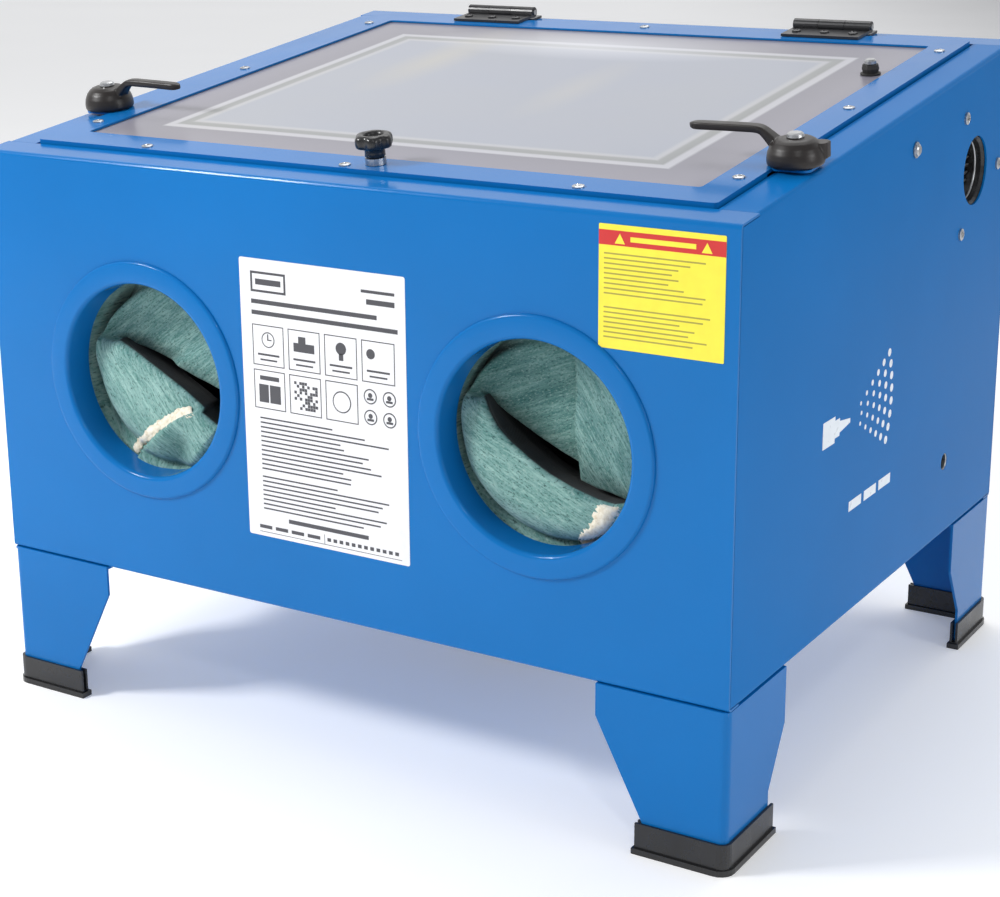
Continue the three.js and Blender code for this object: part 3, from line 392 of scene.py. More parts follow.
# The right wall's copy of the blue paint has less shine, so it reflects less and looks darker: painted shade.
shaded_side_paint = painted("blue_side", BLUE, shine=0.03)
label_white = paper_finish("label_white", (0.86, 0.86, 0.88))
label_grey = paper_finish("label_grey", (0.055, 0.055, 0.065))
label_yellow = paper_finish("label_yellow", (0.93, 0.80, 0.05))
label_red = paper_finish("label_red", (0.62, 0.02, 0.02))
label_olive = paper_finish("label_olive", (0.42, 0.36, 0.05))
decal_white = paper_finish("decal_white", (0.78, 0.84, 0.90), 0.3)


# ---------------- mesh helpers

BEVEL_ANGLE = math.radians(35)
SMOOTH_ANGLE = math.radians(32)


def piece(name, mesh, material, body, smooth=True, replaced=()):
    """A mesh object that rides on a body."""
    obj = bpy.data.objects.new(name, mesh)
    scene.collection.objects.link(obj)
    mesh.materials.clear()
    mesh.materials.append(material)
    mesh.polygons.foreach_set("use_smooth", [smooth] * len(mesh.polygons))
    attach(obj, body)
    if replaced:
        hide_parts(*replaced)
    return obj


def to_mesh(bm, name):
    bmesh.ops.recalc_face_normals(bm, faces=bm.faces)
    mesh = bpy.data.meshes.new(name)
    bm.to_mesh(mesh)
    bm.free()
    return mesh


def grid_mesh(bm, rows, around=False, capped=False):
    """Joins rows of points with quads, closed round each row and over the first and last rows if asked."""
    verts = [[bm.verts.new(p) for p in row] for row in rows]
    for a, b in zip(verts, verts[1:]):
        n = len(a)
        for j in range(n if around else n - 1):
            k = (j + 1) % n
            bm.faces.new((a[j], a[k], b[k], b[j]))
    if capped:
        bm.faces.new(list(reversed(verts[0])))
        bm.faces.new(verts[-1])
    return verts


def lathe(bm, profile, place, steps=64, closed=False, radial=None):
    """Turns (radius, height) points round place's Z axis. A radius of 0 closes to a point."""
    rings = []
    for radius, height in profile:
        if radius == 0:
            rings.append([bm.verts.new(place @ Vector((0, 0, height)))])
            continue
        ring = []
        for k in range(steps):
            angle = 2 * math.pi * k / steps
            r = radial(radius, height, angle) if radial else radius
            ring.append(bm.verts.new(place @ Vector((r * math.cos(angle), r * math.sin(angle), height))))
        rings.append(ring)
    pairs = list(zip(rings, rings[1:]))
    if closed:
        pairs.append((rings[-1], rings[0]))
    for a, b in pairs:
        for k in range(steps):
            m = (k + 1) % steps
            if len(a) == 1:
                bm.faces.new((a[0], b[m], b[k]))
            elif len(b) == 1:
                bm.faces.new((a[k], a[m], b[0]))
            else:
                bm.faces.new((a[k], a[m], b[m], b[k]))


def slab(bm, outline, place, low, high):
    """A flat plate with the outline's corners, between two heights over its place."""
    rows = [[bm.verts.new(place @ Vector((x, y, h))) for x, y in outline] for h in (low, high)]
    bm.faces.new(rows[1])
    bm.faces.new(list(reversed(rows[0])))
    n = len(outline)
    for k in range(n):
        m = (k + 1) % n
        bm.faces.new((rows[0][k], rows[0][m], rows[1][m], rows[1][k]))


def rounded_rect(x0, x1, y0, y1, radius, steps=5):
    """A rectangle's outline with rounded corners, from sizes in mm."""
    corners = ((x1 - radius, y0 + radius, -90), (x1 - radius, y1 - radius, 0),
               (x0 + radius, y1 - radius, 90), (x0 + radius, y0 + radius, 180))
    points = []
    for cx, cy, start in corners:
        for k in range(steps + 1):
            angle = math.radians(start + 90 * k / steps)
            points.append(((cx + radius * math.cos(angle)) * MM, (cy + radius * math.sin(angle)) * MM))
    return points


def bevelled(obj, width):
    bevel = obj.modifiers.new("edges", "BEVEL")
    bevel.width = width
    bevel.segments = 2
    bevel.limit_method = "ANGLE"
    bevel.angle_limit = BEVEL_ANGLE
    bevel.harden_normals = True


def smooth_by_angle(limit):
    """A node group that shades faces smooth and keeps the edges sharper than limit."""
    group = bpy.data.node_groups.new("smooth_by_angle", "GeometryNodeTree")
    group.interface.new_socket("Geometry", in_out="INPUT", socket_type="NodeSocketGeometry")
    group.interface.new_socket("Geometry", in_out="OUTPUT", socket_type="NodeSocketGeometry")
    start = group.nodes.new("NodeGroupInput")
    end = group.nodes.new("NodeGroupOutput")
    faces = group.nodes.new("GeometryNodeSetShadeSmooth")
    edges = group.nodes.new("GeometryNodeSetShadeSmooth")
    edges.domain = "EDGE"
    edges.inputs["Shade Smooth"].default_value = False
    angle = group.nodes.new("GeometryNodeInputMeshEdgeAngle")
    over = group.nodes.new("FunctionNodeCompare")
    over.operation = "GREATER_THAN"
    over.inputs[1].default_value = limit
    link = group.links.new
    link(start.outputs[0], faces.inputs["Geometry"])
    link(faces.outputs[0], edges.inputs["Geometry"])
    link(angle.outputs[0], over.inputs[0])
    link(over.outputs[0], edges.inputs["Selection"])
    link(edges.outputs[0], end.inputs[0])
    return group


shade_smooth = smooth_by_angle(SMOOTH_ANGLE)


def shaded(obj):
    modifier = obj.modifiers.new("shading", "NODES")
    modifier.node_group = shade_smooth


def melted(bm, name, voxel, passes):
    """Fuses a piece's overlapping solids into one skin and rounds it."""
    mesh = to_mesh(bm, name + "_parts")
    obj = bpy.data.objects.new(name + "_parts", mesh)
    scene.collection.objects.link(obj)
    remesh = obj.modifiers.new("fuse", "REMESH")
    remesh.mode = "VOXEL"
    remesh.voxel_size = voxel
    relax = obj.modifiers.new("relax", "SMOOTH")
    relax.factor = 0.5
    relax.iterations = passes
    graph = bpy.context.evaluated_depsgraph_get()
    fused = bpy.data.meshes.new_from_object(obj.evaluated_get(graph))
    fused.name = name
    bpy.data.objects.remove(obj)
    bpy.data.meshes.remove(mesh)
    return fused


# ---------------- CAD nodes: finish, edges and shading

SHEET_EDGE = 0.35 * MM
OTHER_EDGE = 0.3 * MM
soft_edges = {"front_panel": SHEET_EDGE, "left_panel": SHEET_EDGE, "right_panel": SHEET_EDGE,
              "rear_panel": SHEET_EDGE, "lid_frame": 0.5 * MM, "window_pane": 0.4 * MM}
for row in frame["record"]["subparts"]:
    node = frame["nodes"][row["node"]]
    # The right wall gets the shaded copy of the blue paint.
    finish = shaded_side_paint if row["node"] == "right_panel" else finishes[row["material_slot"]]
    for material_slot in node.material_slots:
        material_slot.material = finish
    shaded(node)
    bevelled(node, soft_edges.get(row["node"], OTHER_EDGE))


# ---------------- arm ports

def arc(cx, cy, radius, start, end, steps):
    """Points on a circle from one angle to another, in degrees."""
    return [
        (cx + radius * math.cos(math.radians(start + (end - start) * k / steps)),
         cy + radius * math.sin(math.radians(start + (end - start) * k / steps)))
        for k in range(steps + 1)]


def port_frame(side):
    """The port's own axes: x across, y up, z out of the cabinet."""
    return Matrix.Translation((side * PORT_X, FRONT, PORT_Z)) @ Matrix.Rotation(math.pi / 2, 4, "X")


def port_ring(side, name):
    """The rolled ring on the front wall and the collar behind it, in one turned skin."""
    collar = PORT_R + 2.5 * MM
    depth = FRONT - COLLAR_END
    proud = FRONT - port_low.y
    lip = 3.2 * MM
    rim = 2.3 * MM
    profile = [(PORT_R, depth), (PORT_R, depth * 0.5), (PORT_R, -1.2 * MM)]
    profile += arc(PORT_R + lip, proud - lip, lip, 180, 90, 8)
    profile += [((PORT_R + RING_R) / 2, proud - 0.15 * MM)]
    profile += arc(RING_R - rim, proud - rim - 0.2 * MM, rim, 90, 0, 6)
    profile += [(RING_R, 0.25 * MM), (collar, 0.25 * MM), (collar, depth)]
    bm = bmesh.new()
    lathe(bm, profile, port_frame(side), 160, closed=True)
    ring = piece(f"port_ring_fine_{name}", to_mesh(bm, "port_ring"), finishes["blue_paint"],
                 "cabinet", replaced=[f"port_ring_{name}"])
    shaded(ring)


# ---------------- gloves

def smoothstep(low, high, value):
    t = min(1.0, max(0.0, (value - low) / (high - low)))
    return t * t * (3 - 2 * t)


def spline(points, count):
    """Points evenly spread over a Catmull-Rom curve through 2-D points."""
    pts = [np.array(p, float) for p in points]
    pts = [2 * pts[0] - pts[1], *pts, 2 * pts[-1] - pts[-2]]
    out = []
    spans = len(points) - 1
    for i in range(count):
        u = spans * i / (count - 1)
        k = min(int(u), spans - 1)
        t = u - k
        a, b, c, d = pts[k:k + 4]
        out.append(0.5 * (2 * b + (c - a) * t + (2 * a - 5 * b + 4 * c - d) * t * t
                          + (3 * b - a - 3 * c + d) * t ** 3))
    return out


SLEEVE_R = 72.4 * MM
SLEEVE_AROUND = 260
SLEEVE_STEPS = 130
SLEEVE_TILT = math.radians(18)
LIP_ROW = 103
LIP_ROWS = 8
LIP_DEPTH = 10 * MM
LIP_REACH = 66 * MM
POCKET_ROWS = (40, 47, 58, 63)
POCKET_SIDE = math.radians(160)
TUNNEL_STEPS = 26
TUNNEL_LENGTH = 92 * MM
TUNNEL_R = 52 * MM
WRIST_R = 34 * MM
WRIST_SAG = 46 * MM

# Each sleeve's mouth as it lies, in mm from the port's centre: its upper and lower lips from the right
# end to the left, how far the lower fold stands out, how deep the pocket beside it is, how far a point
# in front of the lips' plane is moved right and up, and the threads' run and the painted light above and
# below, that is how much lighter each fold is painted where the lamps light it.
sleeves = {
    "left": {
        "upper": [(66, -16), (44, -8), (25, -2), (2, 5), (-22, 11.5), (-40, 15), (-50, 16)],
        "lower": [(66, -16), (60, -34), (42, -32), (26, -23), (8, -12), (-8, -4), (-28, 6), (-42, 12.5),
                  (-50, 16)],
        "bulge": 15, "pocket": 1.0, "lean": (0.90, 0.35),
        "run": {"upper": 35, "lower": -50}, "painted_light": {"upper": 0.75, "lower": 1.0},
    },
    "right": {
        "upper": [(52, -36), (39, -33), (26, -30.5), (15, -27.5), (13.5, -18), (0, -13), (-18, -5),
                  (-38, 6), (-56, 17)],
        "lower": [(52, -36), (40, -39), (28, -38), (8, -32.5), (-8, -27), (-22, -20), (-36, -11),
                  (-46, -2), (-52, 8), (-56, 17)],
        "bulge": 17, "pocket": 0.6, "lean": (0.59, 0.35),
        "run": {"upper": 22, "lower": -24}, "painted_light": {"upper": 0.25, "lower": 0.85},
    },
}


def along_line(points, share):
    """The point at a share of a polyline's length."""
    pts = np.array(points, float)
    steps = np.r_[0, np.cumsum(np.linalg.norm(np.diff(pts, axis=0), axis=1))]
    at = share * steps[-1]
    return np.array((np.interp(at, steps, pts[:, 0]), np.interp(at, steps, pts[:, 1])))


def sleeve_shape(name):
    """The sleeve as rows of points from its cuff to its wrist, in the port's axes (z outwards)."""
    spec = sleeves[name]
    columns = []
    for k in range(SLEEVE_AROUND):
        theta = 2 * math.pi * k / SLEEVE_AROUND
        e = np.array((math.cos(theta), math.sin(theta)))
        turn = theta + SLEEVE_TILT
        share = 0.5 - 0.5 * math.cos(turn)
        upper = math.sin(turn) > 0
        high = smoothstep(-0.12, 0.12, math.sin(turn))
        low_share = max(0.0, -math.sin(turn)) ** 0.5
        top_lip = along_line(spec["upper"], share) * MM
        low_lip = along_line(spec["lower"], share) * MM
        pocket = spec["pocket"] * max(0.0, math.cos(theta - POCKET_SIDE)) ** 3
        valley = (4 + 34 * pocket) * MM
        crest = spec["bulge"] * low_share * MM
        front = (7 + 6 * high) * MM
        edge = front + 5 * high * MM - 0.9 * crest
        lip = top_lip
        if not upper:
            lip = low_lip + max(0.0, LIP_DEPTH - edge) * np.array(spec["lean"])
            lip *= min(1.0, LIP_REACH / np.linalg.norm(lip))
        # From the clamp to the lip and back in behind it: share of the way to the lip, depth.
        control = [
            (-0.006, -13 * MM), (-0.004, -6 * MM), (0.0, 1 * MM), (0.012, valley * 0.8),
            (0.04 + 0.03 * pocket, valley), (0.08 + 0.10 * pocket, valley * 0.75 + front * 0.25),
            (0.13 + 0.15 * pocket, front + 0.5 * valley * pocket),
            (0.26 + 0.10 * pocket, front - crest * 0.6 - 2 * MM * pocket),
            (0.5, front - crest), (0.76, front - crest - 0.8 * MM * low_share), (0.93, edge - 1.8 * MM),
            (1.0, edge + 0.6 * MM), (0.985, edge + 5 * MM), (0.92, edge + 12 * MM),
            (0.8, front + 22 * MM),
        ]
        path = spline(control, SLEEVE_STEPS)
        ring = e * SLEEVE_R
        columns.append([(*(ring * (1 - f) + lip * f), -d) for f, d in path])
    rows = [[column[i] for column in columns] for i in range(SLEEVE_STEPS)]
    last = rows[-1]
    floor_depth = min(p[2] for p in last)
    for i in range(1, TUNNEL_STEPS + 1):
        t = i / TUNNEL_STEPS
        radius = TUNNEL_R + (WRIST_R - TUNNEL_R) * t
        sag = -WRIST_SAG * t ** 1.4
        blend = smoothstep(0, 0.45, t)
        row = []
        for k, (x, y, z) in enumerate(last):
            theta = 2 * math.pi * k / SLEEVE_AROUND
            px = x * (1 - blend) + radius * math.cos(theta) * blend
            py = y * (1 - blend) + (radius * 0.8 * math.sin(theta) + sag) * blend
            row.append((px, py, z * (1 - blend) + blend * floor_depth - TUNNEL_LENGTH * t))
        rows.append(row)
    return rows


# The left sleeve's turned-up flap ends on an arc, with a dished spot beside it that is darkened with
# painted shade, and its upper fold has a ridge that dies out towards the top. The right sleeve's upper
# fold laps over at a seam, and the cloth past the seam is painted lighter as painted light.
FLAP_CENTRE = (59.7 * MM, -130.8 * MM)
FLAP_R = (110.5 * MM, 113 * MM)
DISH_CENTRE = (4 * MM, -55 * MM)
DISH_R = 14 * MM
RIDGE_AT = (2 * MM, 7 * MM)
RIDGE_SLANT = 1.83
RIDGE_WIDTH = 9 * MM
RIDGE_END = (20 * MM, 34 * MM)
SEAM_X = (13.4 * MM, 14.1 * MM)
SEAM_RUN = math.radians(-80)


def fold_detail(name, upper, x, y, z):
    """What one fold adds at a point: its height, its painted light (lighter past the right seam, darker as painted
    shade in the left dish) and how its threads turn.
    """
    if name == "right" and upper:
        seam = smoothstep(*SEAM_X, x)
        # Painted light: past the seam the fold is painted lighter.
        return 3.4 * MM * seam, 0.45 * seam, SEAM_RUN * seam
    if name == "left" and upper:
        ridge = x - RIDGE_AT[0] - (y - RIDGE_AT[1]) * RIDGE_SLANT
        height = 5 * MM * smoothstep(-RIDGE_WIDTH, RIDGE_WIDTH, ridge)
        return height * (1 - smoothstep(*RIDGE_END, y)), 0.0, 0.0
    if name == "left":
        ahead = max(0.0, LIP_DEPTH + z)
        px, py = (c - ahead * lean for c, lean in zip((x, y), sleeves[name]["lean"]))
        flap = smoothstep(*FLAP_R, math.hypot(px - FLAP_CENTRE[0], py - FLAP_CENTRE[1]))
        dished = math.hypot(px - DISH_CENTRE[0], py - DISH_CENTRE[1])
        hollow = (1 - flap) * math.exp(-(dished / DISH_R) ** 2)
        # Painted shade: the dished spot is painted darker.
        return (6.5 * (1 - flap) - 11 * hollow) * MM, -0.9 * hollow, 0.0
    return 0.0, 0.0, 0.0


def wrinkled(rows, name):
    """Adds creases and each fold's detail, and gives the threads' direction, the painted light, and the painted
    shade in the tunnel past the lip and in the pocket by the collar.
    """
    out = []
    threads = []
    painted_lights = []
    painted_shades = []
    for i, row in enumerate(rows):
        visible = smoothstep(0.14, 0.3, i / SLEEVE_STEPS)
        painted_shade = smoothstep(LIP_ROW, LIP_ROW + LIP_ROWS, i)
        behind = smoothstep(*POCKET_ROWS[:2], i) * (1 - smoothstep(*POCKET_ROWS[2:], i))
        new = []
        for k, (x, y, z) in enumerate(row):
            theta = 2 * math.pi * k / SLEEVE_AROUND
            upper = math.sin(theta + SLEEVE_TILT) > 0
            fold = "upper" if upper else "lower"
            crease = noise.noise(Vector((x * 13, y * 34 + x * 9, 3.1)))
            ripple = noise.noise(Vector((x * 70, y * 70, z * 30 + 9.7)))
            height, painted_light, turned = fold_detail(name, upper, x, y, z)
            height += (2.6 * crease + 0.45 * ripple) * MM
            run = math.radians(sleeves[name]["run"][fold]) + turned
            new.append((x, y, z + height * visible))
            threads.append((x * math.cos(run) + y * math.sin(run),
                            y * math.cos(run) - x * math.sin(run), z * 0.3))
            painted_lights.append(sleeves[name]["painted_light"][fold] + painted_light)
            # Painted shade: the pocket beside the collar, and the tunnel past the lip.
            pocket = min(1.0, 1.3 * max(0.0, math.cos(theta - POCKET_SIDE)) ** 3)
            painted_shades.append(max(painted_shade, 0.95 * pocket * behind))
        out.append(new)
    return out, threads, painted_lights, painted_shades


PALM_R = 35 * MM
FINGER_R = 9.5 * MM
THUMB_R = 10.5 * MM
LIMB_STEPS = 16


def hand(side, name):
    """The glove's hand at the sleeve's end: a palm, four fingers and a thumb in one skin."""
    place = port_frame(side)
    bm = bmesh.new()

    def limb(points, radius, flat=1.0):
        rows = []
        for k, p in enumerate(points):
            ends = k in (0, len(points) - 1)
            r = radius * (0.55 if ends else 1.0)
            rows.append([
                place @ Vector((p[0] + r * math.cos(a), p[1] + flat * r * math.sin(a), p[2]))
                for a in (2 * math.pi * j / LIMB_STEPS for j in range(LIMB_STEPS))])
        grid_mesh(bm, rows, around=True, capped=True)

    def mm(*points):
        return [tuple(c * MM for c in p) for p in points]

    limb(mm((0, -45, -118), (0, -47, -130), (0, -52, -150), (0, -56, -170), (0, -57, -180)),
         PALM_R, 0.55)
    for x, tip in ((-25, -206), (-9, -214), (8, -213), (24, -203)):
        limb(mm((x, -55, -160), (x, -57, -175), (x * 1.1, -60, -190), (x * 1.15, -66, tip + 4),
                (x * 1.15, -68, tip)), FINGER_R)
    inward = -side
    limb(mm((inward * 20, -50, -130), (inward * 33, -53, -143), (inward * 43, -57, -158),
            (inward * 47, -61, -170), (inward * 48, -63, -175)), THUMB_R)
    mesh = melted(bm, f"glove_hand_{name}", 2.2 * MM, 6)
    return piece(f"glove_hand_{name}", mesh, finishes["canvas"], "cabinet")


STRIP_STEPS = 46
STRIP_ACROSS = 8
STRIP_DROP = 70 * MM


def frayed_strip(name, surface, place, lean, path, width):
    """A strip of seam tape laid over the sleeve, along a path in the port's plane."""
    centre = spline([np.array(p) * MM for p in path], STRIP_STEPS)
    rows = []
    for k, p in enumerate(centre):
        ahead = centre[min(k + 1, len(centre) - 1)] - centre[max(k - 1, 0)]
        ahead /= max(np.linalg.norm(ahead), 1e-9)
        sideways = np.array((-ahead[1], ahead[0]))
        row = []
        for j in range(STRIP_ACROSS + 1):
            share = j / STRIP_ACROSS - 0.5
            edge = abs(share) > 0.45
            reach = width * share * (1 + (random.uniform(-0.25, 0.35) if edge else 0))
            at = p + sideways * reach
            start = place @ Vector((*(at + STRIP_DROP * np.array(lean)), 60 * MM))
            down = place.to_3x3() @ Vector((-lean[0], -lean[1], -1)).normalized()
            hit = surface.ray_cast(start, down)[0]
            if hit is None:
                hit = place @ Vector((at[0], at[1], -20 * MM))
            rise = (0.6 + 1.3 * (1 - (2 * share) ** 2) + random.uniform(0, 0.5)) * MM
            row.append(hit + place.to_3x3() @ Vector((0, 0, rise)))
        rows.append(row)
    bm = bmesh.new()
    grid_mesh(bm, rows)
    strip = piece(name, to_mesh(bm, name), seam_tape, "cabinet")
    solid = strip.modifiers.new("thickness", "SOLIDIFY")
    solid.thickness = 0.6 * MM
    return strip


# Each seam tape's path, in mm from the port's centre, and its width.
seams = {
    "left": ([(-37, -64), (-31, -56), (-21, -46.5), (-9, -38), (5, -30), (18, -25.5)], 6.5),
    "right": ([(40, -34.5), (36.5, -43), (29, -57), (20, -68)], 13),
}


def sleeve(side, name):
    """One gauntlet: the gathered sleeve, its seam tape and the hand behind it."""
    rows, threads, painted_lights, painted_shades = wrinkled(sleeve_shape(name), name)
    place = port_frame(side) @ Matrix.Translation((0, 0, FRONT - COLLAR_END))
    bm = bmesh.new()
    grid_mesh(bm, [[place @ Vector(p) for p in row] for row in rows], around=True)
    mesh = to_mesh(bm, "sleeve")
    runs = mesh.attributes.new("threads", "FLOAT_VECTOR", "POINT")
    runs.data.foreach_set("vector", [part for point in threads for part in point])
    mesh.attributes.new("painted_light", "FLOAT", "POINT").data.foreach_set("value", painted_lights)
    mesh.attributes.new("painted_shade", "FLOAT", "POINT").data.foreach_set("value", painted_shades)
    surface = BVHTree.FromPolygons([v.co.copy() for v in mesh.vertices],
                                   [p.vertices[:] for p in mesh.polygons])
    cloth = piece(f"glove_sleeve_{name}", mesh, sleeve_canvas, "cabinet",
                  replaced=[f"glove_{name}"])
    solid = cloth.modifiers.new("thickness", "SOLIDIFY")
    solid.thickness = 1.2 * MM
    solid.offset = 0
    path, width = seams[name]
    strip = frayed_strip(f"glove_seam_{name}", surface, place, sleeves[name]["lean"], path, width * MM)
    hand(side, name)


for name, side in (("left", -1), ("right", 1)):
    port_ring(side, name)
    sleeve(side, name)


# ---------------- knob, latches, screws

KNOB_R = 13 * MM
KNOB_LOBES = 6


def knob():
    """A small scalloped knob with a hollow in its crown."""
    place = TOP_FRAME @ Matrix.Translation((KNOB_X, KNOB_S, 0))

    def scallop(radius, height, angle):
        share = smoothstep(8 * MM, KNOB_R, radius) * smoothstep(12.5 * MM, 15 * MM, height)
        return radius * (1 - 0.15 * share * (0.5 - 0.5 * math.cos(KNOB_LOBES * angle)) ** 1.4)

    profile = [(0, 8), (6.0, 8), (6.8, 8.7), (6.7, 11), (6.7, 13.0), (7.4, 14.0), (9.6, 14.2),
               (11.6, 14.7), (12.6, 15.6), (13.0, 17.0), (13.0, 19.8), (12.7, 21.2), (11.9, 22.3),
               (10.6, 23.0), (9.0, 23.3), (7.6, 23.2), (6.6, 22.6), (6.1, 21.4), (5.8, 19.6),
               (5.2, 19.0), (0, 19)]
    bm = bmesh.new()
    lathe(bm, [(r * MM, h * MM) for r, h in profile], place, 120, radial=scallop)
    piece("star_knob_fine", to_mesh(bm, "knob"), finishes["black_plastic"], "lid_knob",
          replaced=["star_knob"])


# The arm's middle line in mm, inwards and up from the hub, and the rounding of its section.
ARM_PATH = [(4, 8), (9, 12.4), (14, 16.8), (18.5, 20.8), (22, 23.2), (26, 24.0), (34, 24.0), (46, 23.8),
            (60, 23.5), (71, 23.2)]
ARM_STEPS = 40
ARM_AROUND = 20
ARM_TIP = 0.93
ARM_ROUNDING = 0.4


def latch_handle(side, name):
    """Domed hub with a lug behind it, and an arm that rises out of it and runs level inwards."""
    place = TOP_FRAME @ Matrix.Translation((side * LATCH_X, LATCH_S, 0)) @ Matrix.Scale(-side, 4, (1, 0, 0))
    base = LID_TOP / MM + 0.35
    bm = bmesh.new()
    hub = [(3.6, 0), (16.6, 0), (17.7, 0.8), (18, 2.2), (17.9, 5), (17.2, 8.5), (15.6, 12), (13.4, 14.6),
           (10.6, 16.2), (8.2, 16.7), (3.6, 16.7)]
    lathe(bm, [(r * MM, (base + h) * MM) for r, h in hub], place, 64, closed=True)
    slab(bm, rounded_rect(-19.2, -9, 1, 12, 3.5), place, (base + 3.5) * MM, (base + 13.5) * MM)
    rows = []
    path = spline(ARM_PATH, ARM_STEPS)
    for k, (x, h) in enumerate(path):
        ahead = path[min(k + 1, len(path) - 1)] - path[max(k - 1, 0)]
        ahead /= np.linalg.norm(ahead)
        t = k / (len(path) - 1)
        slimmed = smoothstep(0, 0.45, t)
        half = 6.5 - 2.3 * slimmed
        thick = 4.2 - 1.7 * slimmed
        if t > ARM_TIP:
            taper = math.sqrt(max(0.05, 1 - ((t - ARM_TIP) / (1 - ARM_TIP)) ** 2))
            half *= taper
            thick *= 0.5 + 0.5 * taper
        row = []
        for j in range(ARM_AROUND):
            a = 2 * math.pi * j / ARM_AROUND
            across = half * math.copysign(abs(math.cos(a)) ** ARM_ROUNDING, math.cos(a))
            up = thick * math.copysign(abs(math.sin(a)) ** ARM_ROUNDING, math.sin(a))
            row.append(place @ (Vector((x - ahead[1] * up, across, h + ahead[0] * up)) * MM))
        rows.append(row)
    grid_mesh(bm, rows, around=True, capped=True)
    mesh = melted(bm, f"latch_handle_{name}", 0.6 * MM, 3)
    piece(f"latch_handle_fine_{name}", mesh, finishes["handle_plastic"], f"latch_{name}",
          replaced=[f"latch_handle_{name}"])


SCREW_RINGS = 14
SCREW_STEPS = 48


def screw_head(bm, place, radius, height):
    """A pan head with a cross recess, its base at the place's origin."""
    rows = []
    for i in range(1, SCREW_RINGS + 1):
        r = radius * i / SCREW_RINGS
        row = []
        for k in range(SCREW_STEPS):
            a = 2 * math.pi * k / SCREW_STEPS
            x, y = r * math.cos(a), r * math.sin(a)
            z = height * (1 - 0.45 * (r / radius) ** 3)
            if min(abs(x), abs(y)) < radius * 0.13 and r < radius * 0.58:
                z -= height * 0.5
            row.append(Vector((x, y, z)))
        rows.append(row)
    rows.append([Vector((p.x, p.y, -0.3 * MM)) for p in rows[-1]])
    inner = grid_mesh(bm, [[place @ p for p in row] for row in rows], around=True)[0]
    centre = bm.verts.new(place @ Vector((0, 0, height * 0.5)))
    for k in range(SCREW_STEPS):
        bm.faces.new((centre, inner[k], inner[(k + 1) % SCREW_STEPS]))


def screws(name, places, radius, height, body, material="zinc_steel"):
    """One piece holding a row of like screws, each turned its own way."""
    bm = bmesh.new()
    for place in places:
        screw_head(bm, place @ Matrix.Rotation(random.uniform(0, math.pi), 4, "Z"), radius, height)
    shaded(piece(name, to_mesh(bm, name), finishes[material], body))


knob()
for name, side in (("left", -1), ("right", 1)):
    latch_handle(side, name)

# Screw places in mm: across and up the slope on the lid, then back and up on the right wall.
lid_screws = [(side * 257, s) for side in (-1, 1) for s in (78, 252, 427)]
lid_screws += [(-170, 31.5), (-2, 31.5), (172, 31.5), (-5, 460)]
hinge_screws = [(side * 152 + k * 23.5, 461) for side in (-1, 1) for k in (-1, 0, 1)]
exhaust_screws = [(135.6, 423.6), (212.3, 380.9), (136.3, 339.0)]
LEAF_TOP = LID_TOP + 2.3 * MM


def placed(surface, points, height=0.0):
    return [surface @ Matrix.Translation((x * MM, y * MM, height)) for x, y in points]


screws("lid_screws", placed(TOP_FRAME, lid_screws, LID_TOP), 3.9 * MM, 1.5 * MM, "lid")
screws("hinge_screws", placed(TOP_FRAME, hinge_screws, LEAF_TOP), 3.6 * MM, 1.7 * MM, "lid", "hinge_steel")
screws("exhaust_screws", placed(SIDE_FRAME, exhaust_screws), 4.4 * MM, 2.4 * MM, "cabinet")


# ---------------- exhaust guard

GUARD_R = 22.2 * MM
GUARD_WIRE = 0.9 * MM
GUARD_DEPTH = 8 * MM
FIN_REACH = 21.5
FIN_PITCH = 5.6
FIN_DEPTH = 13.8 * MM
FIN_TILT = math.radians(38)


def exhaust_guard():
    """A bright ring in the outlet's throat and slanted fins behind it."""
    place = SIDE_FRAME @ Matrix.Translation((EXHAUST.y, EXHAUST.z, 0))
    ring = bmesh.new()
    turns = [2 * math.pi * k / 10 for k in range(10)]
    wire = [(GUARD_R + GUARD_WIRE * math.cos(a), -GUARD_DEPTH + GUARD_WIRE * math.sin(a)) for a in turns]
    lathe(ring, wire, place, 96, closed=True)
    piece("exhaust_guard_ring", to_mesh(ring, "exhaust_guard_ring"), finishes["zinc_steel"],
          "cabinet")
    fins = bmesh.new()
    for k in range(-3, 4):
        high = k * FIN_PITCH
        reach = math.sqrt(FIN_REACH ** 2 - high ** 2)
        tilt = place @ Matrix.Translation((0, high * MM, -FIN_DEPTH)) @ Matrix.Rotation(FIN_TILT, 4, "X")
        for x0, x1 in ((-reach, -4.2), (4.2, reach)):
            slab(fins, rounded_rect(x0, x1, -1.9, 1.9, 0.8, 3), tilt, -0.5 * MM, 0.5 * MM)
    slab(fins, rounded_rect(-4.6, 4.6, -21, 21, 1, 3), place, -15.4 * MM, -14 * MM)
    guard = piece("exhaust_guard_fins", to_mesh(fins, "exhaust_guard_fins"), finishes["aluminium"],
                  "cabinet", smooth=False)
    bevelled(guard, 0.2 * MM)


exhaust_guard()


# ---------------- work grate

GRATE_PITCH = 16.5 * MM
GRATE_HOLE = 5 * MM
GRATE_BORDER = 9 * MM
TUBE_AT = Vector((207 * MM, 160 * MM))
TUBE_HOLE = 7.9 * MM


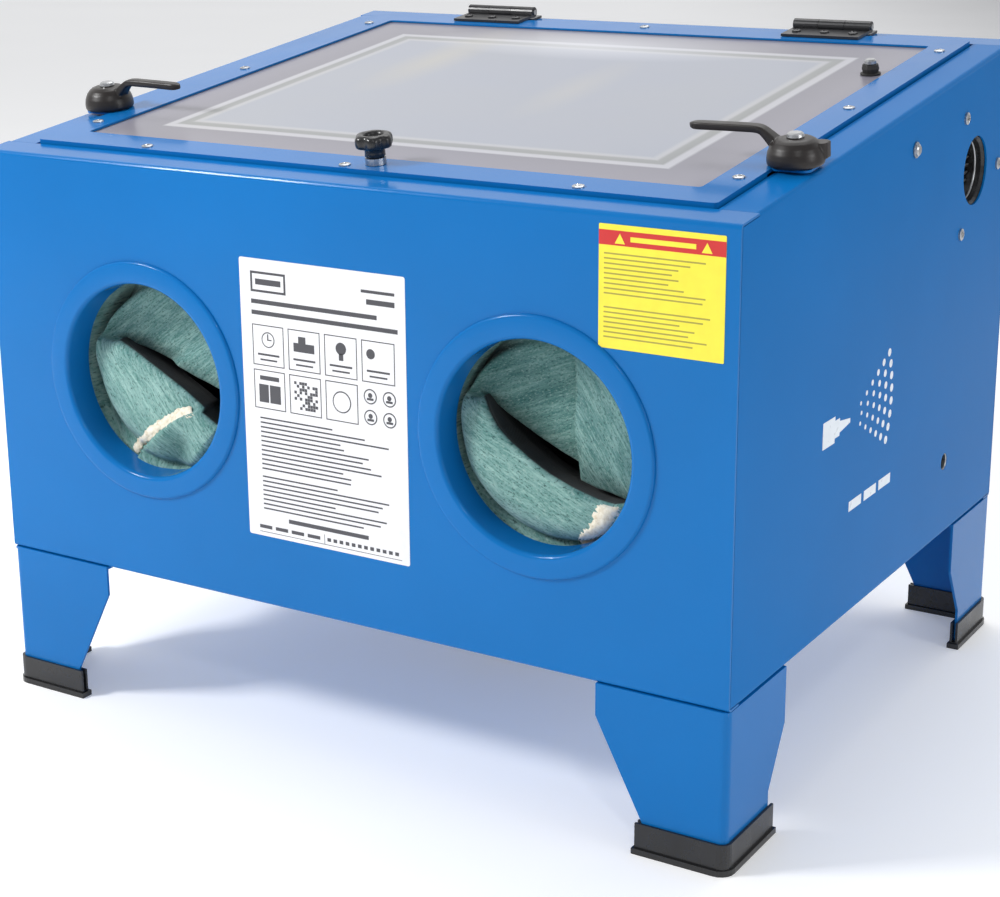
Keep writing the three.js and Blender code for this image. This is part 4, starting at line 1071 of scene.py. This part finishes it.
def perforated_grate():
    """The grate as a sheet with rows of round holes, one of them wider for the pickup tube."""
    low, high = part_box("work_grate")
    pitch = GRATE_PITCH
    across = int((high.x - low.x - 2 * GRATE_BORDER) / pitch)
    back = int((high.y - low.y - 2 * GRATE_BORDER) / pitch)
    x0 = (low.x + high.x - across * pitch) / 2
    y0 = (low.y + high.y - back * pitch) / 2
    bm = bmesh.new()
    corner = [math.radians(45 * k) for k in range(8)]
    rim = [(0.5, 0), (0.5, 0.5), (0, 0.5), (-0.5, 0.5), (-0.5, 0), (-0.5, -0.5), (0, -0.5), (0.5, -0.5)]
    for i in range(across):
        for j in range(back):
            cx, cy = x0 + (i + 0.5) * pitch, y0 + (j + 0.5) * pitch
            near_tube = (Vector((cx, cy)) - TUBE_AT).length <= 7 * MM
            wide = TUBE_HOLE if near_tube else GRATE_HOLE
            inner = [bm.verts.new((cx + wide * math.cos(a), cy + wide * math.sin(a), high.z)) for a in corner]
            outer = [bm.verts.new((cx + pitch * px, cy + pitch * py, high.z)) for px, py in rim]
            for k in range(8):
                m = (k + 1) % 8
                bm.faces.new((inner[k], outer[k], outer[m], inner[m]))
    x1, y1 = x0 + across * pitch, y0 + back * pitch
    edges = ((low.x, x0, y0, y1), (x1, high.x, y0, y1),
             (low.x, high.x, low.y, y0), (low.x, high.x, y1, high.y))
    for ax, bx, ay, by in edges:
        bm.faces.new([bm.verts.new((x, y, high.z)) for x, y in ((ax, ay), (bx, ay), (bx, by), (ax, by))])
    bmesh.ops.remove_doubles(bm, verts=bm.verts, dist=1e-5)
    mesh = to_mesh(bm, "grate")
    grate = piece("work_grate_perforated", mesh, finishes["zinc_steel"], "cabinet",
                  smooth=False, replaced=["work_grate"])
    solid = grate.modifiers.new("thickness", "SOLIDIFY")
    solid.thickness = high.z - low.z
    solid.offset = 1 if mesh.polygons[0].normal.z < 0 else -1


perforated_grate()


# ---------------- labels and marks, with no lettering

FILM = 0.25 * MM
INK = 0.06 * MM
# Heights of a label's film and of up to three layers of ink on it, and of a mark with no film.
LAYERS = ((0.02 * MM, FILM), (FILM + 0.01 * MM, FILM + INK), (FILM + INK, FILM + 2 * INK),
          (FILM + 2 * INK, FILM + 3 * INK))
BARE = (0.02 * MM, 0.12 * MM)
BOX_PITCH = 29.6
CELL = 2.15
SHORTEST_BAR = 0.55


def printed(name, shapes, material, heights, place=FRONT_FRAME):
    """Flat shapes in one ink, as a thin layer on the surface."""
    bm = bmesh.new()
    for outline in shapes:
        slab(bm, outline, place, *heights)
    return piece(name, to_mesh(bm, name), material, "cabinet", smooth=False)


def rect(x0, x1, y0, y1):
    return [(x0 * MM, y0 * MM), (x1 * MM, y0 * MM), (x1 * MM, y1 * MM), (x0 * MM, y1 * MM)]


def box_frame(x0, x1, y0, y1, line):
    return [rect(x0, x1, y0, y0 + line), rect(x0, x1, y1 - line, y1),
            rect(x0, x0 + line, y0 + line, y1 - line), rect(x1 - line, x1, y0 + line, y1 - line)]


def disc(cx, cy, r, steps=24):
    turns = (2 * math.pi * k / steps for k in range(steps))
    return [((cx + r * math.cos(a)) * MM, (cy + r * math.sin(a)) * MM) for a in turns]


def bars(x0, x1, top, count, pitch, thick):
    """Bars of uneven length that stand for lines of text."""
    rows = []
    for k in range(count):
        y = top - k * pitch
        rows.append(rect(x0, x0 + (x1 - x0) * random.uniform(SHORTEST_BAR, 1.0), y - thick, y))
    return rows


def white_label():
    """The large label: plain boxes, discs, a grid of squares and bars."""
    x0, x1, z0, z1 = -68, 64.5, 160, 353.5
    printed("label_sheet", [rounded_rect(x0, x1, z0, z1, 1.5)], label_white, LAYERS[0])
    ink = []
    ink += box_frame(x0 + 9, x0 + 38, 331, 345, 1.6)
    ink += [rect(x0 + 13, x0 + 34, 336, 340), rect(x1 - 34, x1 - 8, 340, 342),
            rect(x1 - 30, x1 - 8, 332.5, 336)]
    ink += [rect(x0 + 9, x1 - 22, 323, 326), rect(x0 + 9, x1 - 6, 315.5, 318.5)]
    for k in range(4):
        left = x0 + 9 + k * BOX_PITCH
        ink += box_frame(left, left + 26, 281, 309, 0.7)
        ink += [rect(left + 4, left + 22, 288, 289.4), rect(left + 6, left + 20, 284.5, 285.7)]
    ink += [disc(x0 + 22, 299, 5.4), disc(x0 + 81.5, 300.5, 4.2), rect(x0 + 79.7, x0 + 83.3, 292.5, 297)]
    ink += [rect(x0 + 43, x0 + 60, 294, 300), rect(x0 + 47, x0 + 53, 300, 304.5), disc(x0 + 105, 300, 3.4)]
    for k in range(3):
        left = x0 + 9 + k * BOX_PITCH
        ink += box_frame(left, left + 26, 251, 278, 0.7)
    ink += [rect(x0 + 14, x0 + 30, 271, 274), rect(x0 + 13, x0 + 21, 255.5, 268),
            rect(x0 + 22, x0 + 31, 255.5, 268)]
    cells = [(x0 + 42.5 + i * CELL, 254.5 + j * CELL)
             for i in range(9) for j in range(9) if random.random() < 0.52]
    ink += [rect(x, x + 2, y, y + 2) for x, y in cells]
    ink += [disc(x0 + 81.2, 264.5, 7.5)]
    signs = [(x0 + 104 + 15 * i, 257.5 + 14 * j) for i in range(2) for j in range(2)]
    ink += [disc(x, y, 5.2) for x, y in signs]
    ink += bars(x0 + 13, x1 - 12, 245, 12, 3.25, 1.1)
    ink += bars(x0 + 13, x1 - 10, 203.5, 8, 3.25, 1.1)
    ink += [rect(x0 + 34, x0 + 100, 172.5, 175.4)]
    ink += [rect(x0 + 9 + 13.5 * k, x0 + 19.5 + 13.5 * k, 165.5, 168) for k in range(4)]
    ink += [rect(x0 + 66 + 5 * k, x0 + 69 + 5 * k, 165.5, 168) for k in range(12)]
    ink += [rect(x0 + 9, x1 - 6, 162.8, 163.2), rect(x0 + 63.5, x0 + 63.9, 163, 170)]
    printed("label_marks", ink, label_grey, LAYERS[1])
    centres = [disc(x0 + 22, 299, 4.6), disc(x0 + 81.2, 264.5, 6.6)] + [disc(x, y, 4.3) for x, y in signs]
    printed("label_centre", centres, label_white, LAYERS[2])
    dots = [disc(x, y + 0.8, 1.7) for x, y in signs]
    dots += [rect(x - 2.6, x + 2.6, y - 2.6, y - 1) for x, y in signs]
    dots += [rect(x0 + 21.4, x0 + 22.4, 299, 303), rect(x0 + 21.4, x0 + 25, 298.6, 299.4)]
    printed("label_dots", dots, label_grey, LAYERS[3])


def yellow_label():
    """The small notice: a red band with two triangles, and bars."""
    x0, x1, z0, z1 = 203.5, 286, 326, 401
    printed("notice_sheet", [rounded_rect(x0, x1, z0, z1, 0.8)], label_yellow, LAYERS[0])
    printed("notice_band", [rect(x0, x1, z1 - 12.5, z1 - 3.5)], label_red, LAYERS[1])
    triangle = ((-3.4, -2.9), (3.4, -2.9), (0, 3.2))
    signs = [[((cx + dx) * MM, (z1 - 8.4 + dy) * MM) for dx, dy in triangle] for cx in (x0 + 14, x1 - 12)]
    signs.append(rect(x0 + 21, x1 - 19, z1 - 9.6, z1 - 6.6))
    printed("notice_shapes", signs, label_yellow, LAYERS[2])
    lines = bars(x0 + 3.5, x1 - 4, z1 - 17, 9, 3.0, 1.0) + bars(x0 + 3.5, x1 - 4, z1 - 49.5, 7, 3.0, 1.0)
    printed("notice_bars", lines, label_olive, LAYERS[1])


def side_mark():
    """A plain pictogram on the right wall: a nozzle, its fan of grit, and a row of three bars."""
    shapes = [rect(-112, -92, 240, 258), rect(-92, -84, 243, 255)]
    shapes.append([(x * MM, y * MM) for x, y in ((-84, 245), (-66, 247.5), (-66, 250.5), (-84, 253))])
    for ring, (radius, count) in enumerate(((16, 3), (27, 4), (38, 5), (49, 6), (60, 7), (71, 8))):
        for k in range(count):
            a = math.radians(-26 + 52 * k / (count - 1))
            shapes.append(disc(-62 + radius * math.cos(a), 249 + radius * math.sin(a), 1.5 + 0.28 * ring, 16))
    shapes += [rect(-62 + 27 * k, -40 + 27 * k, 184, 191) for k in range(3)]
    printed("side_pictogram", shapes, decal_white, BARE, SIDE_FRAME)


white_label()
yellow_label()
side_mark()


# ---------------- stage

FLOOR_HALF = 9


def pale_floor():
    """A floor that is bright round the cabinet from a painted glow, and greyer towards the right as painted shade.
    """
    bm = bmesh.new()
    bmesh.ops.create_grid(bm, x_segments=2, y_segments=2, size=FLOOR_HALF)
    mesh = bpy.data.meshes.new("floor")
    bm.to_mesh(mesh)
    bm.free()
    f = Finish("floor", Roughness=0.9, Specular_IOR_Level=0.1, Emission_Strength=0.22)
    x, y, _ = f.separated()
    toward = f.math("ADD", f.math("MULTIPLY", x, 0.85), f.math("MULTIPLY", y, 0.5))
    sweep = f.node("MapRange", {"Value": toward, "From Min": 0.1, "From Max": 2.8},
                   interpolation_type="SMOOTHERSTEP")
    # Painted shade: greyer towards the right. Painted light: a glow that is strongest near the cabinet.
    tone = f.colors(sweep, (0.0, (0.92, 0.92, 0.92)), (1.0, (0.60, 0.60, 0.61)))
    glow = f.colors(sweep, (0.0, (1, 1, 1)), (1.0, (0.1, 0.1, 0.1)))
    grain = f.colors(f.noise(3, 2), (0.3, (0.98, 0.98, 0.98)), (0.7, (1, 1, 1)))
    mesh.materials.append(f.feed(Base_Color=f.mix(1.0, tone, grain, "MULTIPLY"), Emission_Color=glow))
    floor = bpy.data.objects.new("floor", mesh)
    scene.collection.objects.link(floor)
    return floor


floor = pale_floor()
